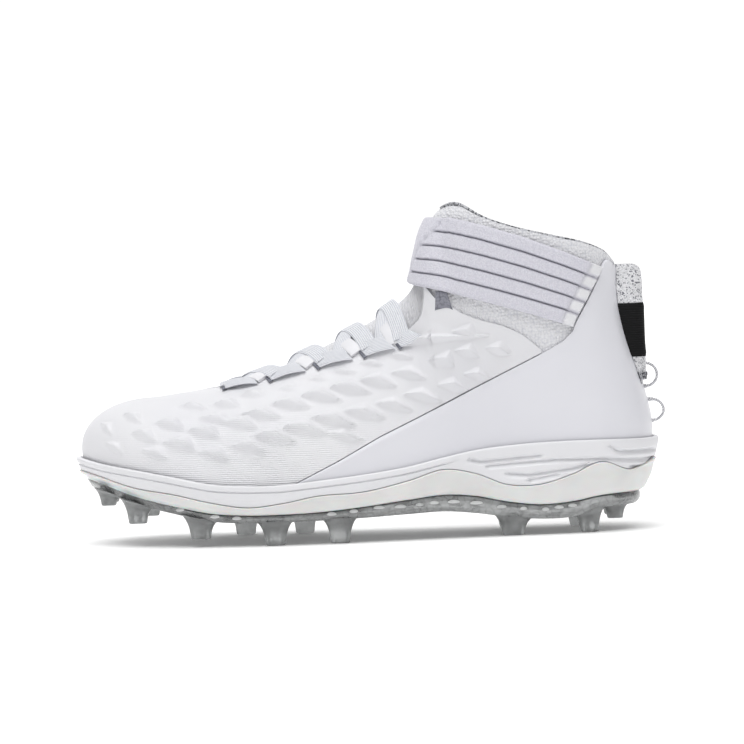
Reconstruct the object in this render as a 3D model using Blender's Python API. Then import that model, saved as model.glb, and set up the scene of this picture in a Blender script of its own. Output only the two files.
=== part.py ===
"""A left high-top football cleat: upper, moulded skins, tongue, ankle strap, laces and studded sole.

The shoe stands on its studs on z = 0. +X points to the toe, +Y to the outer side of the foot and +Z up.
Everything that follows the foot is worked out from one form: columns that rise from the edge of the
footbed to the top line, each a Bezier curve whose numbers come from a short table of sections.
"""

import math
from collections import namedtuple

import bmesh
import bpy
import numpy as np
from mathutils import Vector
from mathutils.bvhtree import BVHTree

# Driving sizes in metres.
LENGTH = 0.298
BALL_WIDTH = 0.101
COLLAR_HEIGHT = 0.172
HEEL_STACK = 0.048
STUD_HEIGHT = 0.012

# Walls, layers and clearances in metres.
GAP = 0.0003
LAYER_GAP = 0.0004
UPPER_WALL = 0.0020
SKIN_WALL = 0.0012
WING_WALL = 0.0017
WING_STEP = 0.0005
TONGUE_WALL = 0.0028
STRAP_WALL = 0.0026
INSOLE_WALL = 0.0030
CUP_LIP = 0.0024
FRAME_PROUD = 0.0009
FRAME_GAP = 0.0005
FRAME_SEAT = 0.0018
LACE_WIDTH = 0.0078
LACE_WALL = 0.0013
CORD_DIAMETER = 0.0014
FOOT_CLEAR = 0.0009
PLATE_GAP = 0.0006
SEAM = 0.0006
STRAP_SEAM = 0.0014
FRAME_FLOOR = 0.0012
RIM_HEIGHT = 0.0030
RIM_STEP = 0.0010
RIB_DEPTH = 0.0010
RIB_EDGE = 0.0005
INSOLE_INSET = 0.0048
SIDE_REACH = 0.005
STUD_ROOT = 0.0015
STUD_FLARE = 0.0020
STUD_BEVEL = 0.0012
TONGUE_MARGIN = 0.0075
TONGUE_SINK = 0.0012
LACE_MARGIN = 0.0022
PULL_WIDTH = 0.0080
CORD_BOW = 0.0060

# Places along the rows of the form.
PULL_REAR = 0.003
PULL_FOOT = 0.432
SLEEVE_LOW = 0.600
SLEEVE_HIGH = 0.700
PULL_TOP = 0.795
TONGUE_START = 5.2
TONGUE_END = 13.0
ANKLE_AXIS = 0.205
RIB_FADE = 0.02

# How far the layers of the upper lie from the form, which is the outer face of the vamp skin.
UPPER_OFFSET = -(SKIN_WALL + LAYER_GAP)
TONGUE_OFFSET = UPPER_OFFSET - UPPER_WALL - 2 * LAYER_GAP
STRAP_OFFSET = UPPER_OFFSET + 4 * LAYER_GAP
CUP_OFFSET = WING_STEP + 2 * LAYER_GAP
LACE_OFFSET = 0.0009

# Mesh density.
COLUMNS = 30
ROWS = 8
WING_INSET = 0.03

Section = namedtuple(
    "Section",
    "name foot_x foot_lat foot_med top_x top_z top_lat top_med throat rise"
    " lean_lat lean_med pull_x pull_out pull_z",
)
# x as shares of LENGTH, y, lean and throat of BALL_WIDTH, z of COLLAR_HEIGHT, rise of the column's height.
SECTIONS = [
    Section("toe tip", 0.982, -0.129, -0.129, 0.866, 0.440, -0.114, -0.114, 0, 0.54,
            0.104, 0.104, 0.094, 0, -0.003),
    Section("toe cap", 0.968, -0.020, -0.248, 0.862, 0.440, -0.113, -0.113, 0, 0.53,
            0.098, 0.098, 0.082, 0.090, -0.003),
    Section("little toe", 0.943, 0.089, -0.332, 0.857, 0.441, -0.111, -0.111, 0, 0.52,
            0.088, 0.088, 0.060, 0.168, -0.003),
    Section("toe side", 0.903, 0.208, -0.406, 0.846, 0.443, -0.109, -0.109, 0, 0.50,
            0.079, 0.079, 0.038, 0.228, -0.003),
    Section("toe box", 0.849, 0.307, -0.450, 0.825, 0.448, -0.104, -0.104, 0, 0.48,
            0.069, 0.065, 0.018, 0.262, -0.002),
    Section("vamp", 0.785, 0.381, -0.465, 0.785, 0.457, -0.099, -0.099, 0, 0.45, 0.054,
            0.050, 0.003, 0.272, 0),
    Section("ball", 0.715, 0.426, -0.460, 0.729, 0.475, -0.089, -0.089, 0.080, 0.43,
            0.045, 0.040, 0, 0.272, 0),
    Section("fifth joint", 0.644, 0.446, -0.431, 0.662, 0.510, -0.079, -0.079, 0.128,
            0.43, 0.040, 0.035, 0, 0.255, 0),
    Section("low instep", 0.570, 0.441, -0.386, 0.590, 0.561, -0.064, -0.064, 0.153,
            0.43, 0.030, 0.030, 0, 0.230, 0),
    Section("instep", 0.500, 0.416, -0.342, 0.520, 0.616, -0.050, -0.050, 0.173, 0.43,
            0.020, 0.030, 0, 0.210, 0),
    Section("high instep", 0.436, 0.386, -0.317, 0.456, 0.677, -0.035, -0.035, 0.188,
            0.43, 0.010, 0.030, 0, 0.200, 0),
    Section("ankle bend", 0.389, 0.366, -0.307, 0.411, 0.744, -0.020, -0.020, 0.198,
            0.42, 0, 0.020, 0, 0.200, 0),
    Section("shin low", 0.359, 0.356, -0.307, 0.394, 0.843, -0.010, -0.010, 0.198,
            0.42, -0.020, 0.005, 0, 0.235, 0),
    Section("shin high", 0.334, 0.351, -0.307, 0.381, 0.919, -0.005, -0.005, 0, 0.42,
            -0.040, -0.015, 0, 0.255, 0),
    Section("collar front", 0.310, 0.347, -0.307, 0.357, 0.983, 0, 0, 0, 0.40, -0.059,
            -0.035, 0, 0.255, -0.015),
    Section("collar corner", 0.285, 0.342, -0.307, 0.324, 0.997, 0.149, -0.149, 0,
            0.38, -0.079, -0.050, 0, 0.160, -0.145),
    Section("ankle front", 0.252, 0.337, -0.309, 0.279, 0.953, 0.243, -0.238, 0, 0.36,
            -0.079, -0.050, 0, 0.100, -0.232),
    Section("ankle bone", 0.205, 0.332, -0.312, 0.218, 0.915, 0.287, -0.282, 0, 0.34,
            -0.050, -0.030, 0, 0.060, -0.244),
    Section("ankle back", 0.151, 0.327, -0.317, 0.154, 0.886, 0.292, -0.292, 0, 0.33,
            0, 0.010, 0, 0.030, -0.244),
    Section("heel side", 0.097, 0.307, -0.307, 0.101, 0.863, 0.257, -0.257, 0, 0.32,
            0.059, 0.059, 0, -0.010, -0.244),
    Section("heel corner", 0.050, 0.243, -0.248, 0.067, 0.837, 0.173, -0.173, 0, 0.31,
            0.109, 0.109, 0.010, -0.030, -0.244),
    Section("heel turn", 0.022, 0.144, -0.149, 0.050, 0.808, 0.084, -0.084, 0, 0.30,
            0.139, 0.139, 0.017, -0.020, -0.244),
    Section("heel back", 0.010, 0, 0, 0.045, 0.797, 0, 0, 0, 0.30, 0.163, 0.163, 0.022, 0, -0.244),
]
LAST = len(SECTIONS) - 1
FRONT = 14

Station = namedtuple("Station", "x bite footbed wave frame plate tuck")
# The sole's heights as shares of HEEL_STACK, at shares of LENGTH; tuck is how far its foot is drawn in,
# as a share of BALL_WIDTH.
STATIONS = [
    Station(-0.01, 0.98, 0.65, 0.76, 0.40, 0.27, 0.105),
    Station(0.035, 0.99, 0.64, 0.66, 0.41, 0.27, 0.100),
    Station(0.09, 1.00, 0.62, 0.76, 0.40, 0.26, 0.080),
    Station(0.14, 1.00, 0.61, 0.64, 0.35, 0.18, 0.070),
    Station(0.20, 0.99, 0.59, 0.54, 0.33, 0.17, 0.065),
    Station(0.25, 0.97, 0.57, 0.55, 0.37, 0.20, 0.065),
    Station(0.31, 0.93, 0.55, 0.69, 0.45, 0.26, 0.065),
    Station(0.36, 0.87, 0.53, 0.74, 0.475, 0.29, 0.065),
    Station(0.42, 0.79, 0.51, 0.64, 0.44, 0.28, 0.060),
    Station(0.50, 0.725, 0.49, 0.54, 0.385, 0.26, 0.055),
    Station(0.58, 0.68, 0.475, 0.515, 0.345, 0.25, 0.050),
    Station(0.64, 0.65, 0.47, 0.45, 0.335, 0.245, 0.050),
    Station(0.70, 0.65, 0.475, 0.415, 0.335, 0.245, 0.055),
    Station(0.76, 0.675, 0.51, 0.47, 0.36, 0.27, 0.060),
    Station(0.83, 0.76, 0.595, 0.57, 0.445, 0.36, 0.070),
    Station(0.90, 0.84, 0.69, 0.64, 0.555, 0.47, 0.080),
    Station(0.96, 0.90, 0.76, 0.745, 0.68, 0.60, 0.085),
    Station(1.01, 0.97, 0.81, 0.80, 0.755, 0.68, 0.085),
]


def hermite(xs, ys, x):
    """A smooth curve through the points (xs, ys), read at x, level beyond its ends."""
    xs, ys = np.asarray(xs, float), np.asarray(ys, float)
    slopes = np.gradient(ys, xs)
    x = np.clip(x, xs[0], xs[-1])
    i = np.clip(np.searchsorted(xs, x, side="right") - 1, 0, len(xs) - 2)
    width = xs[i + 1] - xs[i]
    t = (x - xs[i]) / width
    a = 2 * t**3 - 3 * t**2 + 1
    b = t**3 - 2 * t**2 + t
    c = 3 * t**2 - 2 * t**3
    d = t**3 - t**2
    return a * ys[i] + b * width * slopes[i] + c * ys[i + 1] + d * width * slopes[i + 1]


def sole_height(column, x):
    """The height of one of the sole's lines over the ground, at x."""
    xs = [row.x * LENGTH for row in STATIONS]
    ys = [getattr(row, column) * HEEL_STACK for row in STATIONS]
    return hermite(xs, ys, x)


def sole_tuck(x):
    xs = [row.x * LENGTH for row in STATIONS]
    return hermite(xs, [row.tuck * BALL_WIDTH for row in STATIONS], x)


def ring_of(lateral, medial, scale):
    """One column of SECTIONS as a closed ring: toe tip, outer side, heel back, inner side."""
    outer = [getattr(row, lateral) * scale for row in SECTIONS]
    inner = [getattr(row, medial) * scale for row in SECTIONS]
    return np.array(outer + inner[-2:0:-1])


def rings():
    pull = ring_of("pull_out", "pull_out", BALL_WIDTH)
    pull[LAST:] *= -1
    return {
        "foot_x": ring_of("foot_x", "foot_x", LENGTH),
        "foot_y": ring_of("foot_lat", "foot_med", BALL_WIDTH),
        "top_x": ring_of("top_x", "top_x", LENGTH),
        "top_y": ring_of("top_lat", "top_med", BALL_WIDTH),
        "top_z": ring_of("top_z", "top_z", COLLAR_HEIGHT),
        "throat": ring_of("throat", "throat", BALL_WIDTH),
        "rise": ring_of("rise", "rise", 1),
        "lean": ring_of("lean_lat", "lean_med", BALL_WIDTH),
        "pull_x": ring_of("pull_x", "pull_x", LENGTH),
        "pull_y": pull,
        "pull_z": ring_of("pull_z", "pull_z", COLLAR_HEIGHT),
    }


RINGS = rings()
AROUND = 2 * LAST


def around(name, u):
    """A Catmull-Rom curve through one ring, read at u, which counts sections from the toe tip."""
    ring = RINGS[name]
    u = np.asarray(u, float)
    i = np.floor(u).astype(int)
    t = u - i
    before, here, after, beyond = (ring[(i + k) % AROUND] for k in (-1, 0, 1, 2))
    return 0.5 * (
        2 * here
        + (after - before) * t
        + (2 * before - 5 * here + 4 * after - beyond) * t**2
        + (3 * here - before - 3 * after + beyond) * t**3
    )


def handles(u):
    """The four control points of the column at u: its foot, two handles and its top."""
    u = np.asarray(u, float)
    x, y = around("foot_x", u), around("foot_y", u)
    step = 0.02
    run = np.stack([around("foot_x", u + step) - around("foot_x", u - step),
                    around("foot_y", u + step) - around("foot_y", u - step)], -1)
    run /= np.linalg.norm(run, axis=-1, keepdims=True)
    foot = np.stack([x, y, sole_height("footbed", x) + FOOT_CLEAR], -1)
    top = np.stack([around("top_x", u), around("top_y", u), around("top_z", u)], -1)
    height = top[..., 2] - foot[..., 2]
    lean = around("lean", u)
    low = foot + np.stack([run[..., 1] * lean, -run[..., 0] * lean, around("rise", u) * height], -1)
    high = top + np.stack([around("pull_x", u), around("pull_y", u), around("pull_z", u)], -1)
    return foot, low, high, top


def on_column(points, s):
    foot, low, high, top = points
    s = np.asarray(s, float)[..., None]
    return (1 - s) ** 3 * foot + 3 * (1 - s) ** 2 * s * low + 3 * (1 - s) * s**2 * high + s**3 * top


def form(u, s, offset=0.0):
    """The point of the form at column u and share s of the way up it, moved out by offset."""
    u, s = np.broadcast_arrays(np.asarray(u, float), np.asarray(s, float))
    at = on_column(handles(u), s)
    if not np.any(offset):
        return at
    step = 0.01
    t = np.minimum(s, 0.985)
    along = on_column(handles(u + step), t) - on_column(handles(u - step), t)
    foot, low, high, top = handles(u)
    t = t[..., None]
    upward = (1 - t) ** 2 * (low - foot) + 2 * (1 - t) * t * (high - low) + t**2 * (top - high)
    normal = np.cross(along, upward)
    normal /= np.linalg.norm(normal, axis=-1, keepdims=True)
    return at + normal * np.asarray(offset, float)[..., None] if np.ndim(offset) else at + normal * offset


def crossing(u, above):
    """The share up column u where above(points) first turns positive, 0 at the foot and 1 at the top."""
    shares = np.linspace(0, 1, 201)
    values = above(on_column(handles(u), shares))
    if values[0] >= 0:
        return 0.0
    found = np.nonzero(values >= 0)[0]
    if not len(found):
        return 1.0
    i = found[0]
    return float(shares[i - 1] + (shares[i] - shares[i - 1]) * values[i - 1] / (values[i - 1] - values[i]))


def throat_share(u):
    """The share up column u where the edge of the throat, or the collar's rim, lies."""
    gap, middle = float(around("throat", u)), float(around("top_y", u))
    if gap < 0.001:
        return 1.0
    return crossing(u, lambda p: gap - np.abs(p[:, 1] - middle))


WING_LINE = [
    (0.00, 0.90), (0.05, 0.845), (0.072, 0.800), (0.085, 0.750),
    (0.104, 0.690), (0.124, 0.633), (0.131, 0.604), (0.148, 0.575),
    (0.185, 0.541), (0.255, 0.483), (0.326, 0.424), (0.396, 0.366), (0.470, 0.308),
    (0.540, 0.244), (0.611, 0.186), (0.69, 0.115),
]
SKIN_LINE = [
    (0.00, 0.40), (0.14, 0.50), (0.191, 0.558), (0.218, 0.599),
    (0.252, 0.628), (0.289, 0.645), (0.322, 0.669),
    (0.342, 0.692), (0.366, 0.715), (0.396, 0.78), (0.43, 1.0), (0.6, 1.3), (1.1, 1.6),
]


def line_height(line, x):
    """The height of a panel's edge seen from the side, at x, from shares of LENGTH and COLLAR_HEIGHT."""
    return np.interp(x / LENGTH, [p[0] for p in line], [p[1] for p in line]) * COLLAR_HEIGHT


def wing_share(u):
    return min(crossing(u, lambda p: p[:, 2] - line_height(WING_LINE, p[:, 0])), 1 - WING_INSET)


def skin_share(u):
    return crossing(u, lambda p: p[:, 2] - line_height(SKIN_LINE, p[:, 0]))


def new_object(name, mesh, material):
    made = bpy.data.objects.new(name, mesh)
    made.data.materials.append(material)
    bpy.data.collections[COLLECTION].objects.link(made)
    made.parent = bpy.data.objects[HOLDER]
    return made


def grid_faces(wide, high, wrap=False):
    """Quads of a grid of points stored column by column."""
    spans = wide if wrap else wide - 1
    return [
        (j * high + i, (j + 1) % wide * high + i, (j + 1) % wide * high + i + 1, j * high + i + 1)
        for j in range(spans)
        for i in range(high - 1)
    ]


def merged(points):
    """For each point, the index of the first point in its place."""
    seen = {}
    return [seen.setdefault(tuple(np.round(p / 2e-6).astype(int)), i) for i, p in enumerate(points)]


def tidy(faces, same):
    """Faces with their coinciding corners made one, without the ones that vanish."""
    made = []
    for face in faces:
        corners = []
        for i in face:
            if same[i] not in corners:
                corners.append(same[i])
        if len(corners) > 2:
            made.append(tuple(corners))
    return made


def split(faces):
    """Triangles, cut the same way on every layer, so that the layers stay parallel."""
    return [(face[0], face[k], face[k + 1]) for face in faces for k in range(1, len(face) - 1)]


def closed_mesh(name, points, faces):
    mesh = bpy.data.meshes.new(name)
    mesh.from_pydata([tuple(p) for p in points], [], faces)
    shape = bmesh.new()
    shape.from_mesh(mesh)
    loose = [v for v in shape.verts if not v.link_faces]
    bmesh.ops.delete(shape, geom=loose, context="VERTS")
    bmesh.ops.recalc_face_normals(shape, faces=shape.faces)
    shape.to_mesh(mesh)
    shape.free()
    mesh.shade_smooth()
    mesh.set_sharp_from_angle(angle=math.radians(40))
    return mesh


def wall(name, outer, inner, wrap, material):
    """A closed wall between two grids of points, with its rims; outer and inner are arrays of columns."""
    wide, high = outer.shape[:2]
    outside, inside = outer.reshape(-1, 3), inner.reshape(-1, 3)
    count = len(outside)
    faces = split(tidy(grid_faces(wide, high, wrap), merged(outside)))
    used = {}
    for face in faces:
        for a, b in zip(face, face[1:] + face[:1]):
            used[(a, b)] = True
    rims = [(b, a, a + count, b + count) for a, b in used if (b, a) not in used]
    back = [tuple(i + count for i in reversed(face)) for face in faces]
    return new_object(name, closed_mesh(name, np.vstack([outside, inside]), faces + back + rims), material)


def loft(name, rings, material, ends=True):
    """A closed solid through rings of equal count; its ends are closed by strips across the shoe."""
    wide = len(rings[0])
    points = np.vstack(rings)
    faces = []
    for r in range(len(rings) - 1):
        for j in range(wide):
            k = (j + 1) % wide
            faces.append((r * wide + j, r * wide + k, (r + 1) * wide + k, (r + 1) * wide + j))
    for base in (0, (len(rings) - 1) * wide):
        for j in range(wide // 2):
            faces.append((base + j, base + j + 1, base + (wide - j - 1) % wide, base + (wide - j) % wide))
    faces = tidy(faces, merged(points))
    return new_object(name, closed_mesh(name, points, faces), material)


def material(name, colour, roughness, metallic=0.0, alpha=1.0):
    made = bpy.data.materials.new(name)
    made.use_nodes = True
    principled = made.node_tree.nodes["Principled BSDF"]
    principled.inputs["Base Color"].default_value = (*colour, 1)
    principled.inputs["Roughness"].default_value = roughness
    principled.inputs["Metallic"].default_value = metallic
    principled.inputs["Alpha"].default_value = alpha
    return made


def ring_columns():
    """The columns used round the shoe: toe tip, outer side, heel back, inner side."""
    side = np.linspace(0, LAST, COLUMNS + 1)
    return np.concatenate([side, AROUND - side[-2:0:-1]])


def band(columns, low, high, offset):
    """Points between the shares low(u) and high(u) of each column, on rows that all the layers share.

    Rows beyond a share fall on it, and the two sides are joined over the toe's ridge.
    """
    rows = np.linspace(0, 1, ROWS + 1)
    shares = [(low(u), high(u)) for u in columns]
    made = np.array([form(u, np.clip(rows, a, max(a, b)), offset) for u, (a, b) in zip(columns, shares)])
    for j, u in enumerate(columns):
        for k, other in enumerate(columns):
            mirrored = abs((u + other) % AROUND) < 1e-6 and abs(u % AROUND) > 1e-6
            if mirrored and shares[j][1] == 1.0 and min(u % AROUND, -u % AROUND) <= FRONT:
                made[j, -1] = made[k, -1] = (made[j, -1] + made[k, -1]) / 2
    return made


def make_upper(material):
    columns = ring_columns()
    outer = band(columns, lambda u: 0.0, throat_share, UPPER_OFFSET)
    inner = band(columns, lambda u: 0.0, throat_share, UPPER_OFFSET - UPPER_WALL)
    return wall("upper", outer, inner, True, material)


def seam_share(u):
    """How far a seam's clearance is up column u, as a share of its length."""
    points = on_column(handles(u), np.linspace(0, 1, 21))
    return SEAM / float(np.linalg.norm(np.diff(points, axis=0), axis=1).sum())


def skin_low(u):
    share = wing_share(u)
    return share + seam_share(u) if share > 0 else 0.0


def skin_high(u):
    return min(throat_share(u), skin_share(u))


def side_columns(start, end, density):
    """Columns between two places on the outer side, about density to each COLUMNS of the whole side."""
    count = max(2, round(abs(end - start) / LAST * density))
    return np.linspace(start, end, count + 1)


def find_column(start, end, keeps):
    """The last column from start towards end for which keeps(u) holds."""
    for _ in range(30):
        middle = (start + end) / 2
        if keeps(middle):
            start = middle
        else:
            end = middle
    return start


def make_skin(material):
    end = find_column(14, LAST, lambda u: skin_high(u) - skin_low(u) > 3 * seam_share(u))
    side = side_columns(0, end, COLUMNS)
    columns = np.concatenate([-side[:0:-1], side])
    outer = band(columns, skin_low, skin_high, 0.0)
    inner = band(columns, skin_low, skin_high, -SKIN_WALL)
    return wall("vamp_skin", outer, inner, False, material)


def make_wing(material):
    start = find_column(LAST, 4, lambda u: wing_share(u) > 3 * seam_share(u))
    side = side_columns(start, LAST, COLUMNS)
    columns = np.concatenate([side, AROUND - side[-2::-1]])
    outer = band(columns, lambda u: 0.0, wing_share, WING_STEP)
    inner = band(columns, lambda u: 0.0, wing_share, WING_STEP - WING_WALL)
    return wall("heel_wing", outer, inner, False, material)


def on_ridge(t, across, offset):
    """The point over the instep at row t and a distance across from the ridge, + to the outer side."""
    u = t if across >= 0 else -t
    middle = float(around("top_y", u))
    share = crossing(u, lambda p: abs(across) - np.abs(p[:, 1] - middle))
    return form(u, share, offset)


def make_tongue(material):
    rows = np.linspace(TONGUE_START, TONGUE_END, 13)
    across = np.array([-1, -0.82, -0.65, -0.47, -0.25, 0, 0.25, 0.47, 0.65, 0.82, 1])

    def sheet(offset):
        made = []
        for t in rows:
            half = float(around("throat", t)) + TONGUE_MARGIN * min(1.0, 0.35 + (t - TONGUE_START) / 2)
            depth = offset - TONGUE_SINK * min(max((t - 10) / 1.5, 0.0), 1.0)
            line = np.array([on_ridge(t, half * k, depth) for k in across])
            line[len(across) // 2] = (form(t, 1.0, depth) + form(-t, 1.0, depth)) / 2
            made.append(line)
        return np.array(made)

    return wall("tongue", sheet(TONGUE_OFFSET), sheet(TONGUE_OFFSET - TONGUE_WALL), False, material)


def feather(u):
    """The foot point of column u and the direction out of the shoe there."""
    step = 0.02
    x, y = float(around("foot_x", u)), float(around("foot_y", u))
    run = np.array([float(around("foot_x", u + step) - around("foot_x", u - step)),
                    float(around("foot_y", u + step) - around("foot_y", u - step))])
    run /= np.linalg.norm(run)
    return np.array([x, y]), np.array([run[1], -run[0]])


def out_from(u, distance, z):
    foot, out = feather(u)
    return np.array([*(foot + out * distance), z])


def reach(u, z):
    """How far out of the feather the form lies at height z."""
    foot, out = feather(u)
    share = crossing(u, lambda p: p[:, 2] - z)
    return float((form(u, share)[:2] - foot) @ out)


def side_lines(u):
    """Heights of the sole's lines on its side at column u."""
    foot, out = feather(u)
    x = foot[0] + out[0] * SIDE_REACH
    lines = {name: float(sole_height(name, x)) for name in Station._fields[1:6]}
    lines["groove"] = lines["bite"] - RIM_HEIGHT
    lines["lip"] = max(min(lines["wave"], lines["groove"] - 0.0022), lines["frame"] + 0.0035)
    return lines


def floor_point(u, distance, name, lift=0.0):
    """A point of a floor that runs across the shoe, at a distance out of the feather."""
    point = out_from(u, distance, 0)
    point[2] = float(sole_height(name, point[0])) + lift
    return point


def foam_reach(u, z):
    """How far out of the feather the foam's side lies at height z: full at the rim, drawn in at its foot."""
    lines = side_lines(u)
    x = float(around("foot_x", u))
    top = max(reach(u, max(z, lines["footbed"])), -0.001) + CUP_OFFSET + CUP_LIP
    down = np.clip((lines["footbed"] - z) / (lines["footbed"] - lines["plate"]), 0, 1)
    return top - float(sole_tuck(x)) * down**1.4


def loft_of(name, profile, material):
    """A loft through the rings that profile(u) gives a point of, for every column u."""
    columns = [profile(u) for u in ring_columns()]
    return loft(name, [np.array(ring) for ring in zip(*columns)], material)


Rib = namedtuple("Rib", "heel toe heel_z toe_z")
# The stepped ribs on the heel's side, top to bottom: where each ends and its height there, in shares of
# LENGTH and HEEL_STACK.
RIBS = [
    Rib(0.190, 0.330, 0.855, 0.840),
    Rib(-0.010, 0.290, 0.775, 0.775),
    Rib(0.110, 0.255, 0.735, 0.655),
]


def rib_steps(u, high, low):
    """Heights and depths of the edge and the foot of each rib's step, between two heights at column u."""
    foot, out = feather(u)
    x = (foot[0] + out[0] * SIDE_REACH) / LENGTH
    span = (high - low) / len(RIBS)
    made = []
    for k, rib in enumerate(RIBS):
        share = (x - rib.heel) / (rib.toe - rib.heel)
        z = (rib.heel_z + (rib.toe_z - rib.heel_z) * share) * HEEL_STACK
        z = min(max(z, high - (k + 0.85) * span), high - (k + 0.15) * span)
        fade = min(max((x - rib.heel) / RIB_FADE, 0.0), max((rib.toe - x) / RIB_FADE, 0.0), 1.0)
        made += [(z, 0.0), (z - min(RIB_EDGE, 0.12 * span), RIB_DEPTH * fade)]
    return made


def make_midsole(material):
    """The foam cup: footbed, lip with its rim step, and a side cut back where the frame wraps it."""

    def profile(u):
        line = side_lines(u)
        bite, groove, lip = line["bite"], line["groove"], line["lip"] + FRAME_GAP
        middle = (bite + line["footbed"]) / 2
        half = (lip + line["frame"] + FRAME_FLOOR) / 2
        floor = line["frame"] + FRAME_FLOOR + FRAME_GAP
        ribs = [out_from(u, foam_reach(u, z) - depth, z) for z, depth in rib_steps(u, groove - 0.0006, lip)]
        return [
            floor_point(u, CUP_OFFSET, "footbed"),
            out_from(u, reach(u, middle) + CUP_OFFSET, middle),
            out_from(u, reach(u, bite) + CUP_OFFSET, bite),
            out_from(u, foam_reach(u, bite) - 0.0004, bite),
            out_from(u, foam_reach(u, bite), bite - 0.0005),
            out_from(u, foam_reach(u, groove), groove),
            out_from(u, foam_reach(u, groove) - RIM_STEP, groove - 0.0006),
            *ribs,
            out_from(u, foam_reach(u, lip), lip),
            out_from(u, foam_reach(u, lip) - FRAME_SEAT, lip - 0.0001),
            out_from(u, foam_reach(u, half) - FRAME_SEAT, half),
            floor_point(u, foam_reach(u, floor) - FRAME_SEAT, "frame", FRAME_FLOOR + FRAME_GAP),
        ]

    return loft_of("midsole", profile, material)


def make_frame(material):
    """The frosted tray round the foot of the foam, with its wavy upper edge."""

    def profile(u):
        line = side_lines(u)
        floor, lip = line["frame"], line["lip"]
        half = (lip + floor + FRAME_FLOOR) / 2
        inset = FRAME_GAP - FRAME_SEAT
        return [
            floor_point(u, foam_reach(u, floor + FRAME_FLOOR) + inset, "frame", FRAME_FLOOR),
            out_from(u, foam_reach(u, half) + inset, half),
            out_from(u, foam_reach(u, lip) + inset, lip),
            out_from(u, foam_reach(u, lip) + FRAME_PROUD - 0.0002, lip),
            out_from(u, foam_reach(u, lip) + FRAME_PROUD, lip - 0.0004),
            out_from(u, foam_reach(u, half) + FRAME_PROUD, half),
            out_from(u, foam_reach(u, floor) + FRAME_PROUD, floor + 0.0010),
            floor_point(u, foam_reach(u, floor) + FRAME_PROUD - 0.0006, "frame"),
        ]

    return loft_of("sole_frame", profile, material)


def make_insole(material):
    columns = ring_columns()
    rings = []
    for inset, lift in ((INSOLE_INSET, GAP), (INSOLE_INSET, GAP + INSOLE_WALL)):
        rings.append(np.array([floor_point(u, -inset, "footbed", lift) for u in columns]))
    return loft("insole", rings, material)


Stud = namedtuple("Stud", "name x across long wide foot ground")
# x as shares of LENGTH, across as a share of the plate's half width, sizes as shares of STUD_HEIGHT.
STUDS = [
    Stud("toe outer", 0.945, 0.55, 1.05, 0.85, 0.75, 1.75),
    Stud("toe inner", 0.945, -0.62, 1.05, 0.85, 0.75, 1.75),
    Stud("front outer", 0.893, 0.74, 1.30, 1.00, 0.80, 1.00),
    Stud("front inner", 0.880, -0.80, 1.30, 1.00, 0.80, 1.00),
    Stud("ball outer", 0.783, 0.80, 1.40, 1.10, 0.88, 0.33),
    Stud("ball inner", 0.790, -0.82, 1.40, 1.10, 0.88, 0.60),
    Stud("joint outer", 0.654, 0.82, 1.40, 1.10, 0.88, 0),
    Stud("joint inner", 0.712, -0.82, 1.40, 1.10, 0.88, 0),
    Stud("arch outer", 0.543, 0.82, 1.35, 1.05, 0.80, 0),
    Stud("arch inner", 0.607, -0.82, 1.35, 1.05, 0.85, 0),
    Stud("heel front outer", 0.244, 0.72, 1.55, 1.15, 1.00, 0),
    Stud("heel front inner", 0.244, -0.72, 1.55, 1.15, 1.00, 0),
    Stud("heel back outer", 0.112, 0.68, 1.25, 1.15, 0.98, 0),
    Stud("heel back inner", 0.124, -0.68, 1.25, 1.15, 0.98, 0),
    Stud("heel end outer", 0.066, 0.52, 1.10, 0.95, 0.80, 0.50),
    Stud("heel end inner", 0.066, -0.52, 1.10, 0.95, 0.80, 0.50),
]


def half_width(x, side):
    """How far the plate's edge lies from the middle line at x."""
    columns = np.linspace(0.5, LAST - 0.2, 120) * side
    edge = np.array([out_from(u, foam_reach(u, side_lines(u)["frame"]), 0)[:2] for u in columns])
    order = np.argsort(edge[:, 0])
    return float(np.interp(x, edge[order, 0], edge[order, 1]))


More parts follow.
